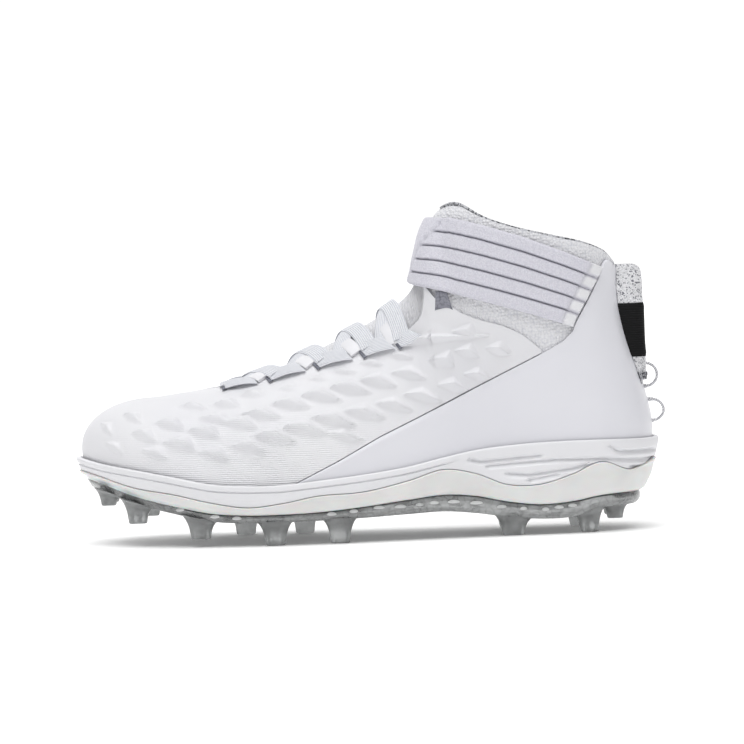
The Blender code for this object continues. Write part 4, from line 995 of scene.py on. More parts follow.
def build_patch(tints, sizes):
    """The small dark knit patches where the top lace goes under the strap: partly the grey lining's own colour, partly
    painted shade in the hollow under the strap.
    """
    corners = [locate(x, z) for x, z in PATCH]
    # The patch's dark colour is partly the grey lining and partly painted shade. Its pit colour is painted shade
    # between the nubs.
    material = knit_material("dark knit and painted shade", tints.patch, tints.patch_shade)
    across, up = np.meshgrid(*[np.linspace(0, 1, PATCH_ROWS)] * 2, indexing="ij")
    weights = ((1 - across) * (1 - up), (1 - across) * up, across * up, across * (1 - up))
    share = [sum(weight * corner[k] for weight, corner in zip(weights, corners)) for k in (0, 1)]
    crown = PATCH_CROWN * (1 - (2 * across - 1) ** 4) * (1 - (2 * up - 1) ** 4)
    for side, word in ((1, "outer"), (-1, "inner")):
        outer = form(side * share[0], share[1], crown + PATCH_LIFT)
        inner = form(side * share[0], share[1], -PATCH_LIFT)
        put_shell("ankle_patch_" + word, outer, inner, False, "white_knit", [material])


# The binding's steps round the collar, where it starts past the front, over how many sections it thins from
# there, and its thickness beyond them as a share.
BINDING_STEPS, BINDING_START, BINDING_FRONT, BINDING_THIN = 150, 0.15, 2.2, 0.8


def build_binding(tints, sizes):
    """The rolled marl edge of the collar, thicker at the front."""
    rings = []
    start = FRONT + BINDING_START
    for u in np.linspace(start, AROUND - start, BINDING_STEPS):
        inside, outside = form(u, 1.0, UPPER_OFFSET - UPPER_WALL), form(u, 1.0, UPPER_OFFSET)
        out = unit(outside - inside)
        up = form(u, 1.0) - form(u, 0.96)
        up = unit(up - out * (up @ out))
        front = max(0.0, 1 - (min(u, AROUND - u) - start) / BINDING_FRONT)
        half = sizes.binding / 2 * (BINDING_THIN + front)
        rings.append([(inside + outside) / 2 + (out * math.cos(a) + up * math.sin(a)) * half for a in circle(14)])
    put_rings("collar_binding", rings, "white_knit",
              [marl_material("marl collar binding", tints.marl, tints.marl_shade, 0.36)])


# Where the yarn's ribs show: about which share of LENGTH, how far either way, and up to which share of
# COLLAR_HEIGHT, fading over the next.
RIBS_AT, RIBS_HALF, RIBS_TOP, RIBS_FADE = 0.66, 0.30, 0.42, 0.16


def build_skin(tints, sizes):
    """The moulded skin over the toe and both sides, with its raised bumps."""
    end = find_column(14, LAST, lambda u: skin_high(u) - skin_low(u) > 3 * seam_share(u))
    side = np.linspace(0, end, SKIN_GRID[0])
    columns = np.concatenate([-side[:0:-1], side])
    low = np.array([skin_low(u) for u in columns])
    high = np.array([skin_high(u) for u in columns])
    base, inner = (form_grid(columns, low, high, SKIN_GRID[1], offset) for offset in (0.0, -SKIN_WALL))
    raised = skin_relief(base, sizes.bump_rise, sizes.bump_tilt) - crease_depth(base, SKIN_FADE)
    outer = weld_ridge(base + tangents(base)[0] * raised[..., None], columns, high)
    x, z = base[..., 0] / LENGTH, base[..., 2] / COLLAR_HEIGHT
    ribs = hat(x - RIBS_AT, RIBS_HALF) * np.clip((RIBS_TOP - z) / RIBS_FADE, 0, 1)
    put_shell("vamp_skin_moulded", outer, inner, False, "moulded_skin", [skin_material(tints)],
              replaces=("vamp_skin",), marks={"ribs": ribs})


def build_wing(tints, sizes):
    """The smooth film wing round the heel: a soft gloss with the faintest orange peel."""
    start = find_column(LAST, 4, lambda u: wing_share(u) > 3 * seam_share(u))
    side = np.linspace(start, LAST, WING_GRID[0])
    columns = np.concatenate([side, AROUND - side[-2::-1]])
    low = np.zeros(len(columns))
    high = np.array([wing_share(u) for u in columns])
    outer, inner = (form_grid(columns, low, high, WING_GRID[1], offset)
                    for offset in (WING_STEP, WING_STEP - WING_WALL))
    outer = outer - tangents(outer)[0] * crease_depth(outer, WING_FADE)[..., None]
    film = grained_material("moulded polyurethane film", tints.wing, tints.wing_shade, 9.0, 420.0, 0.00004,
                            Roughness=0.32, Coat_Weight=0.12, Coat_Roughness=0.3)
    put_shell("heel_wing_film", outer, inner, False, "moulded_skin", [film], replaces=("heel_wing",))


# The share of its margin that the tongue starts with, the row where it begins to sink and the rows that takes.
TONGUE_TUCK = 0.35
SINK_START, SINK_ROWS = 10, 1.5


def build_tongue(tints, sizes):
    """The padded knit tongue that shows between the laces."""
    rows = np.linspace(TONGUE_START, TONGUE_END, TONGUE_GRID[0])
    across = np.linspace(-1, 1, TONGUE_GRID[1])

    def sheet(offset):
        made = []
        for t in rows:
            gap = float(around("throat", t))
            half = gap + TONGUE_MARGIN * min(1.0, TONGUE_TUCK + (t - TONGUE_START) / 2)
            depth = offset - TONGUE_SINK * min(max((t - SINK_START) / SINK_ROWS, 0.0), 1.0)
            crown = sizes.tongue_crown * np.clip(1 - (across * half / max(gap - 0.0005, 0.002)) ** 2, 0, 1) ** 0.7
            line = np.array([on_ridge(t, half * k, depth + c) for k, c in zip(across, crown)])
            top = depth + sizes.tongue_crown
            line[len(across) // 2] = (form(t, 1.0, top) + form(-t, 1.0, top)) / 2
            made.append(line)
        return np.array(made)

    tongue = put_shell("tongue_knit", sheet(TONGUE_OFFSET), sheet(TONGUE_OFFSET - TONGUE_WALL), False, "white_knit",
                       [knit_material("padded tongue knit", tints.knit, tints.knit_shade)], replaces=("tongue",))


# Points round a section of the lace, whose flanks are the first and the one half way round.
LACE_TURNS = 24
# Powers that square the section's flanks and its faces, and half its thickness as a share of the wall.
LACE_FLANK, LACE_FACE, LACE_HALF = 0.45, 0.8, 0.55


def lace_rings(path, lift, width, wall, arch=None, slant=0.0):
    """Rounded flat sections along a path of (row, across) over the form: arch raises each one, slant leans it."""
    low, high = (np.array([on_ridge(t, across, offset) for t, across in path]) for offset in (0.0, 0.001))
    normal = high - low
    for _ in range(4):
        normal = np.vstack([normal[:1], (normal[:-2] + 2 * normal[1:-1] + normal[2:]) / 4, normal[-1:]])
    normal = unit(normal)
    run = unit(np.gradient(low, axis=0))
    side = unit(np.cross(normal, run))
    turns = circle(LACE_TURNS)
    flat = np.sign(np.cos(turns)) * np.abs(np.cos(turns)) ** LACE_FLANK * width / 2
    thick = np.sign(np.sin(turns)) * np.abs(np.sin(turns)) ** LACE_FACE * wall * LACE_HALF
    rings = []
    for k, (p, n, s, r) in enumerate(zip(low, normal, side, run)):
        rise = lift + wall / 2 + (0.0 if arch is None else arch[k])
        rings.append([p + (s + r * slant) * a + n * (b + rise) for a, b in zip(flat, thick)])
    return np.array(rings)


# How far the loops of skin reach over the throat and down the side, their thickness, and the lean of a bar's ends.
LOOP_RISE = 0.0052
LOOP_FOOT = 0.0030
LOOP_WALL = 0.0014
BAR_SLANT = 0.55
# In rows: where a loop of skin starts before its middle, how far it climbs, and how low its middle sits.
LOOP_START, LOOP_CLIMB, LOOP_SINK = 0.16, 0.26, 0.04
# Where a slot's section is taken, as shares of a run before the turn; where the lowest arm leaves; how much of
# its thickness the upper arm of a crossing lies higher.
SLOT_AT = (1.03, 0.98)
FIRST_ARM = 0.75
CROSSING = 0.7
# The dark wedge of painted shadow in a slot: its width at its low end and at its high one, its depth and how far it
# lies ahead of the bar.
SLOT_WIDE, SLOT_NARROW, SLOT_DEEP, SLOT_AHEAD = 0.00125, 0.0003875, 0.0007, 0.0003


def build_laces(tints, sizes):
    """Bars of flat lace beside the throat, the loops of skin that hold them, dark wedges of painted shadow in the slots
    at their ends, and the arms that cross the tongue."""
    material = lace_material(tints)
    wide = {"width": sizes.lace_width, "wall": sizes.lace_wall}
    arch = 0.0012 * np.sin(np.linspace(0, math.pi, 17)) - 0.0006
    loop_arch = 0.0007 * np.sin(np.linspace(0.12, math.pi - 0.12, 13)) - 0.0005
    # The slots' dark colour is painted shadow where the lace dives under the skin.
    shade = grained_material("painted slot shadow", tints.slot, tints.slot_shade, 700.0, 700.0, 0.0001, Roughness=0.9)
    film = grained_material("loop of polyurethane skin", tints.skin, tints.skin_shade, 14.0, 900.0, 0.00004,
                            Roughness=0.42)
    replaced = ("laces",)
    for side, word in ((1, "outer"), (-1, "inner")):
        for number, turn in enumerate(TURNS, 1):
            path = [eyestay(t, side) for t in np.linspace(turn - RUN, turn + RUN, 17)]
            put_rings("lace_bar_%d_%s" % (number, word),
                      lace_rings(path, LACE_OFFSET, arch=arch, slant=-side * BAR_SLANT, **wide), "white_lace",
                      [material], replaces=replaced)
            replaced = ()
            ahead = [eyestay(turn - RUN * share, side) for share in SLOT_AT]
            centre = lace_rings(ahead, 0.0, slant=-side * BAR_SLANT, **wide)[0]
            flanks = sorted((centre[0], centre[LACE_TURNS // 2]), key=lambda p: p[2])
            put_slot_shadow("lace_slot_%d_%s" % (number, word), *flanks, shade)
        for number, (turn, after) in enumerate(zip(TURNS, TURNS[1:]), 1):
            middle = (turn + after) / 2 - LOOP_SINK
            gap = float(around("throat", middle))
            path = [(middle - LOOP_START + LOOP_CLIMB * k, side * (gap - LOOP_RISE + (LOOP_RISE + LOOP_FOOT) * k))
                    for k in np.linspace(0, 1, 13)]
            put_rings("eyestay_loop_%d_%s" % (number, word),
                      lace_rings(path, LACE_OFFSET * 0.8, sizes.lace_width * 0.8, LOOP_WALL, loop_arch), "moulded_skin",
                      [film])
    ends = [(*(eyestay(TURNS[0] - RUN * FIRST_ARM, side) for side in (1, -1)), 0.0)]
    for turn, after in zip(TURNS, TURNS[1:]):
        ends.append((eyestay(turn + ARM, 1), eyestay(after - ARM, -1), 0.0))
        ends.append((eyestay(turn + ARM, -1), eyestay(after - ARM, 1), sizes.lace_wall * CROSSING))
    for number, (a, b, level) in enumerate(ends, 1):
        path = [tuple(p) for p in np.linspace(a, b, 25)]
        put_rings("lace_arm_%d" % number, lace_rings(path, LACE_OFFSET * 0.5 + level, **wide), "white_lace", [material])


def put_slot_shadow(name, low, high, material):
    """A wedge of painted shadow at the toe end of a lace bar, from its low corner, where it is widest, to its high one.
    """
    out = unit(np.array([0.0, np.sign(low[1] - BALL_WIDTH * TOE_MIDDLE), 0.35]))
    run = high - low
    toe = unit(np.cross(out, run))
    toe = toe * np.sign(toe[0])
    rings = []
    for k in np.linspace(0, 1, 9):
        middle = low + run * (1.06 * k - 0.03)
        wide = SLOT_WIDE + (SLOT_NARROW - SLOT_WIDE) * k
        rings.append([middle + toe * (wide * math.cos(a) + SLOT_AHEAD) + out * (SLOT_DEEP * math.sin(a))
                      for a in circle(12)])
    put_rings(name, rings, "moulded_skin", [material])


# Shares of the strap's turn where its plain front ends, low and high, and where its anchor blocks start.
STRAP_PANEL_LOW, STRAP_PANEL_HIGH = 0.015, 0.12
STRAP_ANCHOR = 0.93
# Half widths of a stitched channel, and of the valley between two blocks, in spaces between channels.
CHANNEL_HALF, VALLEY_HALF = 0.11, 0.24
# Half widths of the seams at the anchor and round the front panel, and the ramps beside them, in the same turn.
ANCHOR_SEAM, PANEL_SEAM, ANCHOR_RAMP, PANEL_RAMP = 0.007, 0.008, 0.01, 0.012
# The share of the strap's width over which its edges round off.
STRAP_EDGE = 0.03
# The thickness at the strap's ends and in its deepest places, as a share.
STRAP_THIN = 0.15


def build_strap(tints, sizes):
    """The wide elastic strap round the ankle, with its stitched channels and its anchor blocks."""
    tree = form_tree()
    turns, shares = np.linspace(-1, 1, STRAP_GRID[0]), np.linspace(0, 1, STRAP_GRID[1])
    ends = {(side, share): strap_end(tree, side, share) for side in (-1, 1) for share in shares}
    base = np.array([[ankle_point(tree, turn * ends[(-1 if turn < 0 else 1, share)], STRAP_LOW, STRAP_HIGH,
                                  share, STRAP_OFFSET) for share in shares] for turn in turns])
    normal = -tangents(base)[0]
    if normal[STRAP_GRID[0] // 2, STRAP_GRID[1] // 2, 0] < 0:
        normal = -normal
    place = shares * (GROOVES + 1)
    inside = (np.round(place) > 0) & (np.round(place) < GROOVES + 1)
    groove, valley = (np.where(inside, hat(place - np.round(place), half), 0.0)[None, :]
                      for half in (CHANNEL_HALF, VALLEY_HALF))
    edge = np.clip(np.minimum(shares, 1 - shares) / STRAP_EDGE, 0, 1)[None, :] ** 0.5
    turn = np.abs(turns)[:, None]
    anchor = np.clip((turn - STRAP_ANCHOR) / ANCHOR_RAMP, 0, 1)
    seam = hat(turn - STRAP_ANCHOR, ANCHOR_SEAM)
    front = STRAP_PANEL_LOW + (STRAP_PANEL_HIGH - STRAP_PANEL_LOW) * shares[None, :]
    panel = np.clip((turn - front) / PANEL_RAMP, 0, 1)
    piping = hat(turn - front, PANEL_SEAM)
    level = (0.35 + 0.65 * edge) - 0.5 * groove * (1 - anchor) * panel - 0.75 * valley * anchor
    level -= 0.45 * piping + 0.12 * (1 - panel) + 0.5 * seam
    depth = sizes.strap_wall * np.clip(level, STRAP_THIN, 1)
    depth[0] = depth[-1] = sizes.strap_wall * STRAP_THIN
    outer = base + normal * depth[..., None]
    # The channel mask paints the stitched channels dark, and lays painted shade in the grooves, in the valleys between
    # the anchor blocks, at the anchor's seam and along the front panel's piping.
    channel = np.maximum(groove * (1 - anchor) * panel, 0.35 * seam + 0.22 * valley * anchor)
    channel = np.maximum(channel, 0.3 * piping)
    put_shell("ankle_strap_elastic", outer, base, False, "pale_elastic", [elastic_material(tints)],
              replaces=("ankle_strap",), marks={"channel": channel, "block": anchor * (1 - valley)})


# Grooves of the heel's foam, in millimetres seen from the side.
HEEL_GROOVES = [
    [(93.8, 40.3), (89.2, 39.1), (58.9, 41.1)],
    [(84.5, 36.8), (50.1, 38.7), (26.2, 38.4), (-2.0, 36.4)],
    [(74.3, 32.3), (64.4, 31.4), (43.0, 33.8), (34.1, 35.6)],
    [(63.5, 28.8), (50.4, 30.9)],
    [(21.3, 44.5), (17.3, 41.7), (-2.0, 41.3)],
    [(10.3, 33.2), (3.0, 32.4), (-2.0, 32.2)],
]


# How far a groove's upper and lower slopes run, in groove widths.
GROOVE_UPPER, GROOVE_LOWER = 0.7, 1.5
# The rim's step grows from nothing at this share of LENGTH over the next.
RIM_START, RIM_GROWS = 0.33, 0.04


def groove_depth(x, z, wide, deep):
    """How deep the grooves of the heel are cut at a place on the sole's side."""
    deepest = np.zeros(np.shape(x))
    for line in HEEL_GROOVES:
        for a, b in zip(line, line[1:]):
            a, b = np.array(a) / 1000, np.array(b) / 1000
            run = b - a
            t = np.clip(((x - a[0]) * run[0] + (z - a[1]) * run[1]) / (run @ run), 0, 1)
            rise = z - (a[1] + t * run[1])
            away = np.hypot(x - (a[0] + t * run[0]), rise)
            sharp = np.where(rise > 0, hat(away, wide * GROOVE_UPPER), hat(away, wide * GROOVE_LOWER))
            deepest = np.maximum(deepest, sharp)
    return deepest * deep


def build_midsole(tints, sizes):
    """The foam midsole, matt and finely grained, with its rim groove and the grooves of its heel."""

    def profile(u):
        line = side_lines(u)
        bite, groove, lip = line["bite"], line["groove"], line["lip"] + FRAME_GAP
        middle = (bite + line["footbed"]) / 2
        half = (lip + line["frame"] + FRAME_FLOOR) / 2
        floor = line["frame"] + FRAME_FLOOR + FRAME_GAP
        x = float(around("foot_x", u)) / LENGTH
        step = RIM_STEP * min(max((x - RIM_START) / RIM_GROWS, 0.0), 1.0)
        return [
            floor_point(u, CUP_OFFSET, "footbed"),
            out_from(u, reach(u, middle) + CUP_OFFSET, middle),
            out_from(u, reach(u, bite) + CUP_OFFSET, bite),
            side_point(u, bite, -0.0008, 0.0001),
            side_point(u, bite, -0.0002, -0.0003),
            side_point(u, bite, lift=-0.0008),
            side_point(u, groove, lift=0.0002),
            side_point(u, groove, -step * 0.9, -0.0002),
            side_point(u, groove, -step * 0.8, -0.0006),
            *(side_point(u, z) for z in np.linspace(groove - 0.0010, lip, MIDSOLE_ROWS)),
            side_point(u, lip, -FRAME_SEAT, -0.0001),
            side_point(u, half, -FRAME_SEAT),
            floor_point(u, foam_reach(u, floor) - FRAME_SEAT, "frame", FRAME_FLOOR + FRAME_GAP),
        ]

    def push(rings, columns):
        outward = np.array([[*feather(u)[1], 0] for u in columns])
        side = rings[GROOVED_ROWS]
        depth = groove_depth(side[..., 0], side[..., 2], sizes.groove_width, sizes.groove_depth)
        rings[GROOVED_ROWS] -= outward[None] * depth[..., None]
        return rings

    foam = grained_material("moulded EVA foam", tints.foam, tints.foam_shade, 22.0, 900.0, 0.00005,
                            Roughness=0.5, Sheen_Weight=0.05)
    put_loft("midsole_foam", profile, MIDSOLE_COLUMNS, "white_foam", [foam], push, replaces=("midsole",))


def build_frame(tints, sizes):
    """The frosted tray round the foot of the foam: milky, with its wavy upper edge."""

    def profile(u):
        line = side_lines(u)
        floor, lip = line["frame"], line["lip"]
        inset = FRAME_GAP - FRAME_SEAT
        half = (lip + floor + FRAME_FLOOR) / 2
        return [
            floor_point(u, foam_reach(u, floor + FRAME_FLOOR) + inset, "frame", FRAME_FLOOR),
            side_point(u, half, inset),
            side_point(u, lip, inset),
            side_point(u, lip, FRAME_PROUD - 0.0004, 0.0001),
            side_point(u, lip, FRAME_PROUD, -0.0003),
            *(side_point(u, z, FRAME_PROUD) for z in np.linspace(lip - 0.0009, floor + 0.0016, 12)),
            side_point(u, floor, FRAME_PROUD - 0.0003, 0.0007),
            floor_point(u, foam_reach(u, floor) + FRAME_PROUD - 0.0012, "frame"),
        ]

    frost = grained_material("frosted polyurethane", tints.frost, tints.frost_shade, 40.0, 300.0, 0.00006,
                             Roughness=0.42, Subsurface_Weight=0.3, Subsurface_Scale=0.003, IOR=1.48)
    put_loft("sole_frame_frosted", profile, FRAME_COLUMNS, "frosted_plate", [frost], replaces=("sole_frame",))


# How far each extrusion of a stud rises, as a share of its height, and how much it widens.
STUD_STEPS = [(0.035, 1.10), (0.20, 1.08), (0.22, 1.09), (0.18, 1.11), (0.13, 1.12), (0.10, 1.12), (0.08, 1.14)]
STUD_FOOT = 0.62
FLUTE = 0.24


def stud_template():
    """One stud, foot at 0 and root at 1, in units of its half sizes: fluted, flared at the root."""
    bpy.ops.object.select_all(action="DESELECT")
    bpy.ops.mesh.primitive_circle_add(vertices=24, radius=STUD_FOOT, fill_type="NGON", location=(0, 0, 0))
    made = bpy.context.object
    bpy.ops.object.mode_set(mode="EDIT")
    bpy.ops.mesh.select_all(action="SELECT")
    for rise, size in STUD_STEPS:
        bpy.ops.mesh.extrude_region_move(TRANSFORM_OT_translate={"value": (0, 0, rise)})
        bpy.ops.transform.resize(value=(size, size, 1), center_override=(0, 0, 0))
    bpy.ops.object.mode_set(mode="OBJECT")
    points = np.array([v.co for v in made.data.vertices], float)
    faces = [tuple(p.vertices) for p in made.data.polygons]
    bpy.data.objects.remove(made, do_unlink=True)
    angle = np.arctan2(points[:, 1], points[:, 0])
    radius = np.hypot(points[:, 0], points[:, 1])
    flute = 1 - FLUTE * np.clip(np.cos(4 * angle), 0, 1) * np.clip(1.15 - points[:, 2], 0.15, 1)
    points[:, 0], points[:, 1] = np.cos(angle) * radius * flute, np.sin(angle) * radius * flute
    return points / np.array([1, 1, points[:, 2].max()]), faces


# The raised ovals along the plate's edge: x, z and half length in millimetres.
WINDOWS = [(141.9, 18.1, 3.0), (130.5, 17.1, 3.2), (121.1, 17.3, 2.2), (113.3, 18.1, 2.6), (103.4, 18.3, 3.4),
           (92.0, 17.3, 3.6), (78.6, 14.8, 2.8), (67.2, 13.8, 2.0), (56.3, 12.9, 2.0), (49.4, 14.3, 2.6),
           (42.1, 15.0, 2.4), (155.0, 16.4, 2.4), (166.0, 15.2, 2.6), (214.0, 14.2, 2.6), (226.0, 15.4, 2.6),
           (244.0, 19.0, 2.4)]
# An oval's height over its middle line in metres, and under it as a share of that; its rings' sizes and lifts,
# and how far its middle sinks into the side.
OVAL_RISE, OVAL_DROP = 0.0013, 0.45
OVAL_RINGS = [(1.0, 0.0), (0.94, 0.0004), (0.72, 0.0007), (0.3, 0.0008)]
OVAL_SINK = 0.0003
# Strengths of the mesh cast into the plate and into the studs.
PLATE_MESH, STUD_MESH = 0.3, 0.0
# How far the plate's side lies inside the frame's, in metres.
PLATE_INSET = 0.0013
# The angle above which a stud's edges stay sharp, in degrees.
STUD_SHARP = 32.0


def build_plate(tints, sizes):
    """The clear plate, the row of raised ovals along its edge, and its sixteen studs."""
    material = clear_material("clear smoke polyurethane", tints, PLATE_MESH)
    cast = clear_material("clear studs", tints, STUD_MESH)

    def edge_of(u):
        line = side_lines(u)
        return foam_reach(u, line["frame"]) + FRAME_PROUD - PLATE_INSET

    def profile(u):
        line, edge = side_lines(u), edge_of(u)
        middle = (line["frame"] + line["plate"]) / 2
        return [
            floor_point(u, edge - 0.0004, "frame", -PLATE_GAP),
            out_from(u, edge, line["frame"] - PLATE_GAP - 0.0004),
            out_from(u, edge, middle),
            out_from(u, edge - 0.0006, (middle + line["plate"]) / 2),
            floor_point(u, edge - 0.0018, "plate", 0.0002),
            floor_point(u, edge - 0.0030, "plate"),
        ]

    put_loft("plate_clear", profile, PLATE_COLUMNS, "clear_plate", [material], replaces=("stud_plate",))
    pale = grained_material("pale cast-in ovals", tints.oval, tints.oval_shade, 90.0, 500.0, 0.00005, Roughness=0.3)
    columns = np.linspace(0.5, LAST - 0.2, 400)
    for side, word in ((1, "outer"), (-1, "inner")):
        edge = np.array([out_from(u * side, edge_of(u * side), 0)[:2] for u in columns])
        for number, (x, z, half) in enumerate(WINDOWS, 1):
            at = int(np.argmin(np.abs(edge[:, 0] - x / 1000)))
            line = side_lines(columns[at] * side)
            z = (line["frame"] * 0.62 + line["plate"] * 0.38) * 0.5 + z / 1000 * 0.5
            out = feather(columns[at] * side)[1]
            run = np.array([-out[1], out[0], 0.0])
            middle = np.array([*edge[at], z]) - np.array([*out, 0]) * OVAL_SINK
            rings = [[middle + run * math.cos(a) * half / 1000 * size
                      + np.array([0, 0, 1]) * math.sin(a) * OVAL_RISE * size * (1 if math.sin(a) > 0 else OVAL_DROP)
                      + np.array([*out, 0]) * lift for a in circle(20)]
                     for size, lift in OVAL_RINGS]
            put_rings("plate_oval_%d_%s" % (number, word), rings, "clear_plate", [pale])
    template, faces = stud_template()
    for stud in STUDS:
        x = stud.x * LENGTH
        y = half_width(x, 1 if stud.across > 0 else -1) * abs(stud.across)
        foot = stud.ground * STUD_HEIGHT
        px = x + template[:, 0] * stud.long * STUD_HEIGHT / 2
        py = y + template[:, 1] * stud.wide * STUD_HEIGHT / 2
        root = sole_height("plate", px) + STUD_ROOT
        pz = foot + template[:, 2] * (root - foot)
        put("stud_" + stud.name.replace(" ", "_"), np.stack([px, py, pz], -1), faces, "clear_plate", [cast],
            sharp=STUD_SHARP)


# Where the back of the pull tab lies, in metres, at shares of COLLAR_HEIGHT.
TAPE_LINE = [
    (0.432, 0.0046), (0.440, 0.0026), (0.455, 0.0006), (0.50, 0.0002), (0.53, 0.0006), (0.56, 0.0009), (0.62, 0.0009),
    (0.69, 0.0009), (0.74, 0.0009), (0.77, 0.0012), (0.788, 0.0026), (0.795, 0.0052),
]
# In the same shares: where the tape ends and where it starts to narrow, the ends of its sleeve and its two tacks.
TAPE_TOP, TAPE_NARROWS, TAPE_TAPER = 0.795, 0.7, 0.12
SLEEVE = (0.516, 0.678)
TACKS = (0.452, 0.462)
# Highest place where the tape follows the heel, and the furthest forward that its face may lie, in metres.
TAPE_FOLLOWS, TAPE_FORWARD = 0.132, 0.0150
# A tack's zigzag: its steps, half its height, its thread's radius and how far it stands off the tape, in metres.
TACK_STEPS, TACK_HEIGHT, THREAD, TACK_PROUD = 61, 0.0006, 0.0005, 0.0004


def build_pull(tints, sizes):
    """The pull tab up the heel: speckled knit tape sewn on at its foot, with a black webbing sleeve."""
    tree = form_tree()
    speckle = marl_material("speckled knit tape", tints.tape, tints.tape_shade, 0.17, 1.7)
    webbing = woven_material("black nylon webbing", tints.black, tints.black_shade, 260.0, 0.0002, "Z",
                             Roughness=0.65, Specular_IOR_Level=0.2)
    across = np.linspace(-1, 1, 15)

    def heel_face(y, z):
        hit = tree.ray_cast(Vector((-0.05, y, z)), Vector((1, 0, 0)))[0]
        return hit.x - WING_STEP if hit is not None else 0.013

    def section(share, grow):
        z = share * COLLAR_HEIGHT
        narrow = TAPE_TAPER * max((share - TAPE_NARROWS) / (TAPE_TOP - TAPE_NARROWS), 0.0)
        half = sizes.tape_width / 2 * (1 - narrow) + grow
        rear = np.interp(share, *zip(*TAPE_LINE)) - grow
        front = [min(heel_face(k * half, min(z, TAPE_FOLLOWS)), TAPE_FORWARD) - GAP + grow * 0.5 for k in across]
        back = [rear + (f - rear) * (1 - (1 - abs(k) ** 4) ** 0.5) for k, f in zip(across, front)]
        ring = [(f, k * half, z) for k, f in zip(across, front)]
        return ring + [(b, k * half, z) for k, b in list(zip(across, back))[-2:0:-1]]

    rows = np.concatenate([np.linspace(0.432, 0.465, 7), np.linspace(0.48, 0.76, 16), np.linspace(0.768, TAPE_TOP, 6)])
    put_rings("pull_tape", [section(s, 0.0) for s in rows], "white_cord", [speckle], replaces=("heel_pull",))
    rows = np.linspace(*SLEEVE, 14)
    swell = [0.0003, 0.0007] + [0.0006] * 10 + [0.0007, 0.0003]
    put_rings("pull_sleeve", [section(s, g) for s, g in zip(rows, swell)], "white_cord", [webbing])
    thread = marl_material("bar tack thread", tints.marl, tints.marl_shade, 0.5)
    for number, share in enumerate(TACKS, 1):
        loop = np.array(section(share, TACK_PROUD))
        path = np.vstack([loop[len(across) - 1:], loop[:1]])
        gone = np.concatenate([[0], np.cumsum(np.linalg.norm(np.diff(path, axis=0), axis=1))])
        steps = np.linspace(0, gone[-1], TACK_STEPS)
        line = np.stack([np.interp(steps, gone, path[:, i]) for i in range(3)], axis=1)
        line[:, 2] += TACK_HEIGHT * (-1.0) ** np.arange(TACK_STEPS)
        rings = [[p + np.array([math.cos(a), 0, math.sin(a)]) * THREAD for a in circle(8)] for p in line]
        put_rings("bar_tack_%d" % number, rings, "white_cord", [thread])


# An eyelet from its mouth to its root: how far forward of the cord's end, and its radius, in metres.
EYELET = [(-0.0009, 0.0006), (-0.0007, 0.00085), (0.0, 0.00095), (0.0012, 0.00105), (0.0032, 0.00105)]


def build_cords(tints, sizes):
    """The two thin braided cord loops on the heel."""
    braid = woven_material("braided cord", tints.cord, tints.cord_shade, 420.0, 0.0001, "DIAGONAL", Roughness=0.65,
                           Sheen_Weight=0.1)
    for name in ("heel_cord_upper", "heel_cord_lower"):
        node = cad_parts[name]
        for slot in node.material_slots:
            slot.material = braid
        points = np.array([v.co for v in node.data.vertices]) - SHIFT
        ends = points[points[:, 0] > points[:, 0].max() - 0.0012]
        middle = (ends[:, 2].min() + ends[:, 2].max()) / 2
        for word, tip in (("top", ends[ends[:, 2] > middle]), ("foot", ends[ends[:, 2] < middle])):
            tip = (tip.min(axis=0) + tip.max(axis=0)) / 2
            rings = [[tip + np.array([run, math.cos(a) * half, math.sin(a) * half]) for a in circle(14)]
                     for run, half in EYELET]
            put_rings("%s_%s" % (name.replace("heel_cord", "cord_eyelet"), word), rings, "white_cord", [braid])


def build_insole(tints, sizes):
    """The brushed cloth liner of the footbed, seen down the collar."""
    nap = grained_material("brushed sockliner cloth", tints.liner, tints.liner_shade, 300.0, 900.0, 0.0002,
                           Roughness=0.9, Sheen_Weight=0.2)
    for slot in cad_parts["insole"].material_slots:
        slot.material = nap


# The card the shoe stands on, the wall behind it and the softbox over it.
FLOOR_SIZE, WALL_SIZE = 12.0, 14.0
FLOOR_DROP = 0.0002
FLOOR_GLOW, WALL_GLOW = 0.12, 1.02
SOFTBOX_SPREAD = math.radians(56)
SOFTBOX_FROM = (0.10, 0.30, 1.0)
# How far away the camera stands and where it aims, in metres, and how the photograph is turned.
CAMERA_AWAY = 2.25
CAMERA_AIM = (-0.0024, 0.0, 0.0852)
CAMERA_PITCH = math.radians(2.5)
CAMERA_ROLL = math.radians(2.03)
VIEW_WIDTH = 0.387


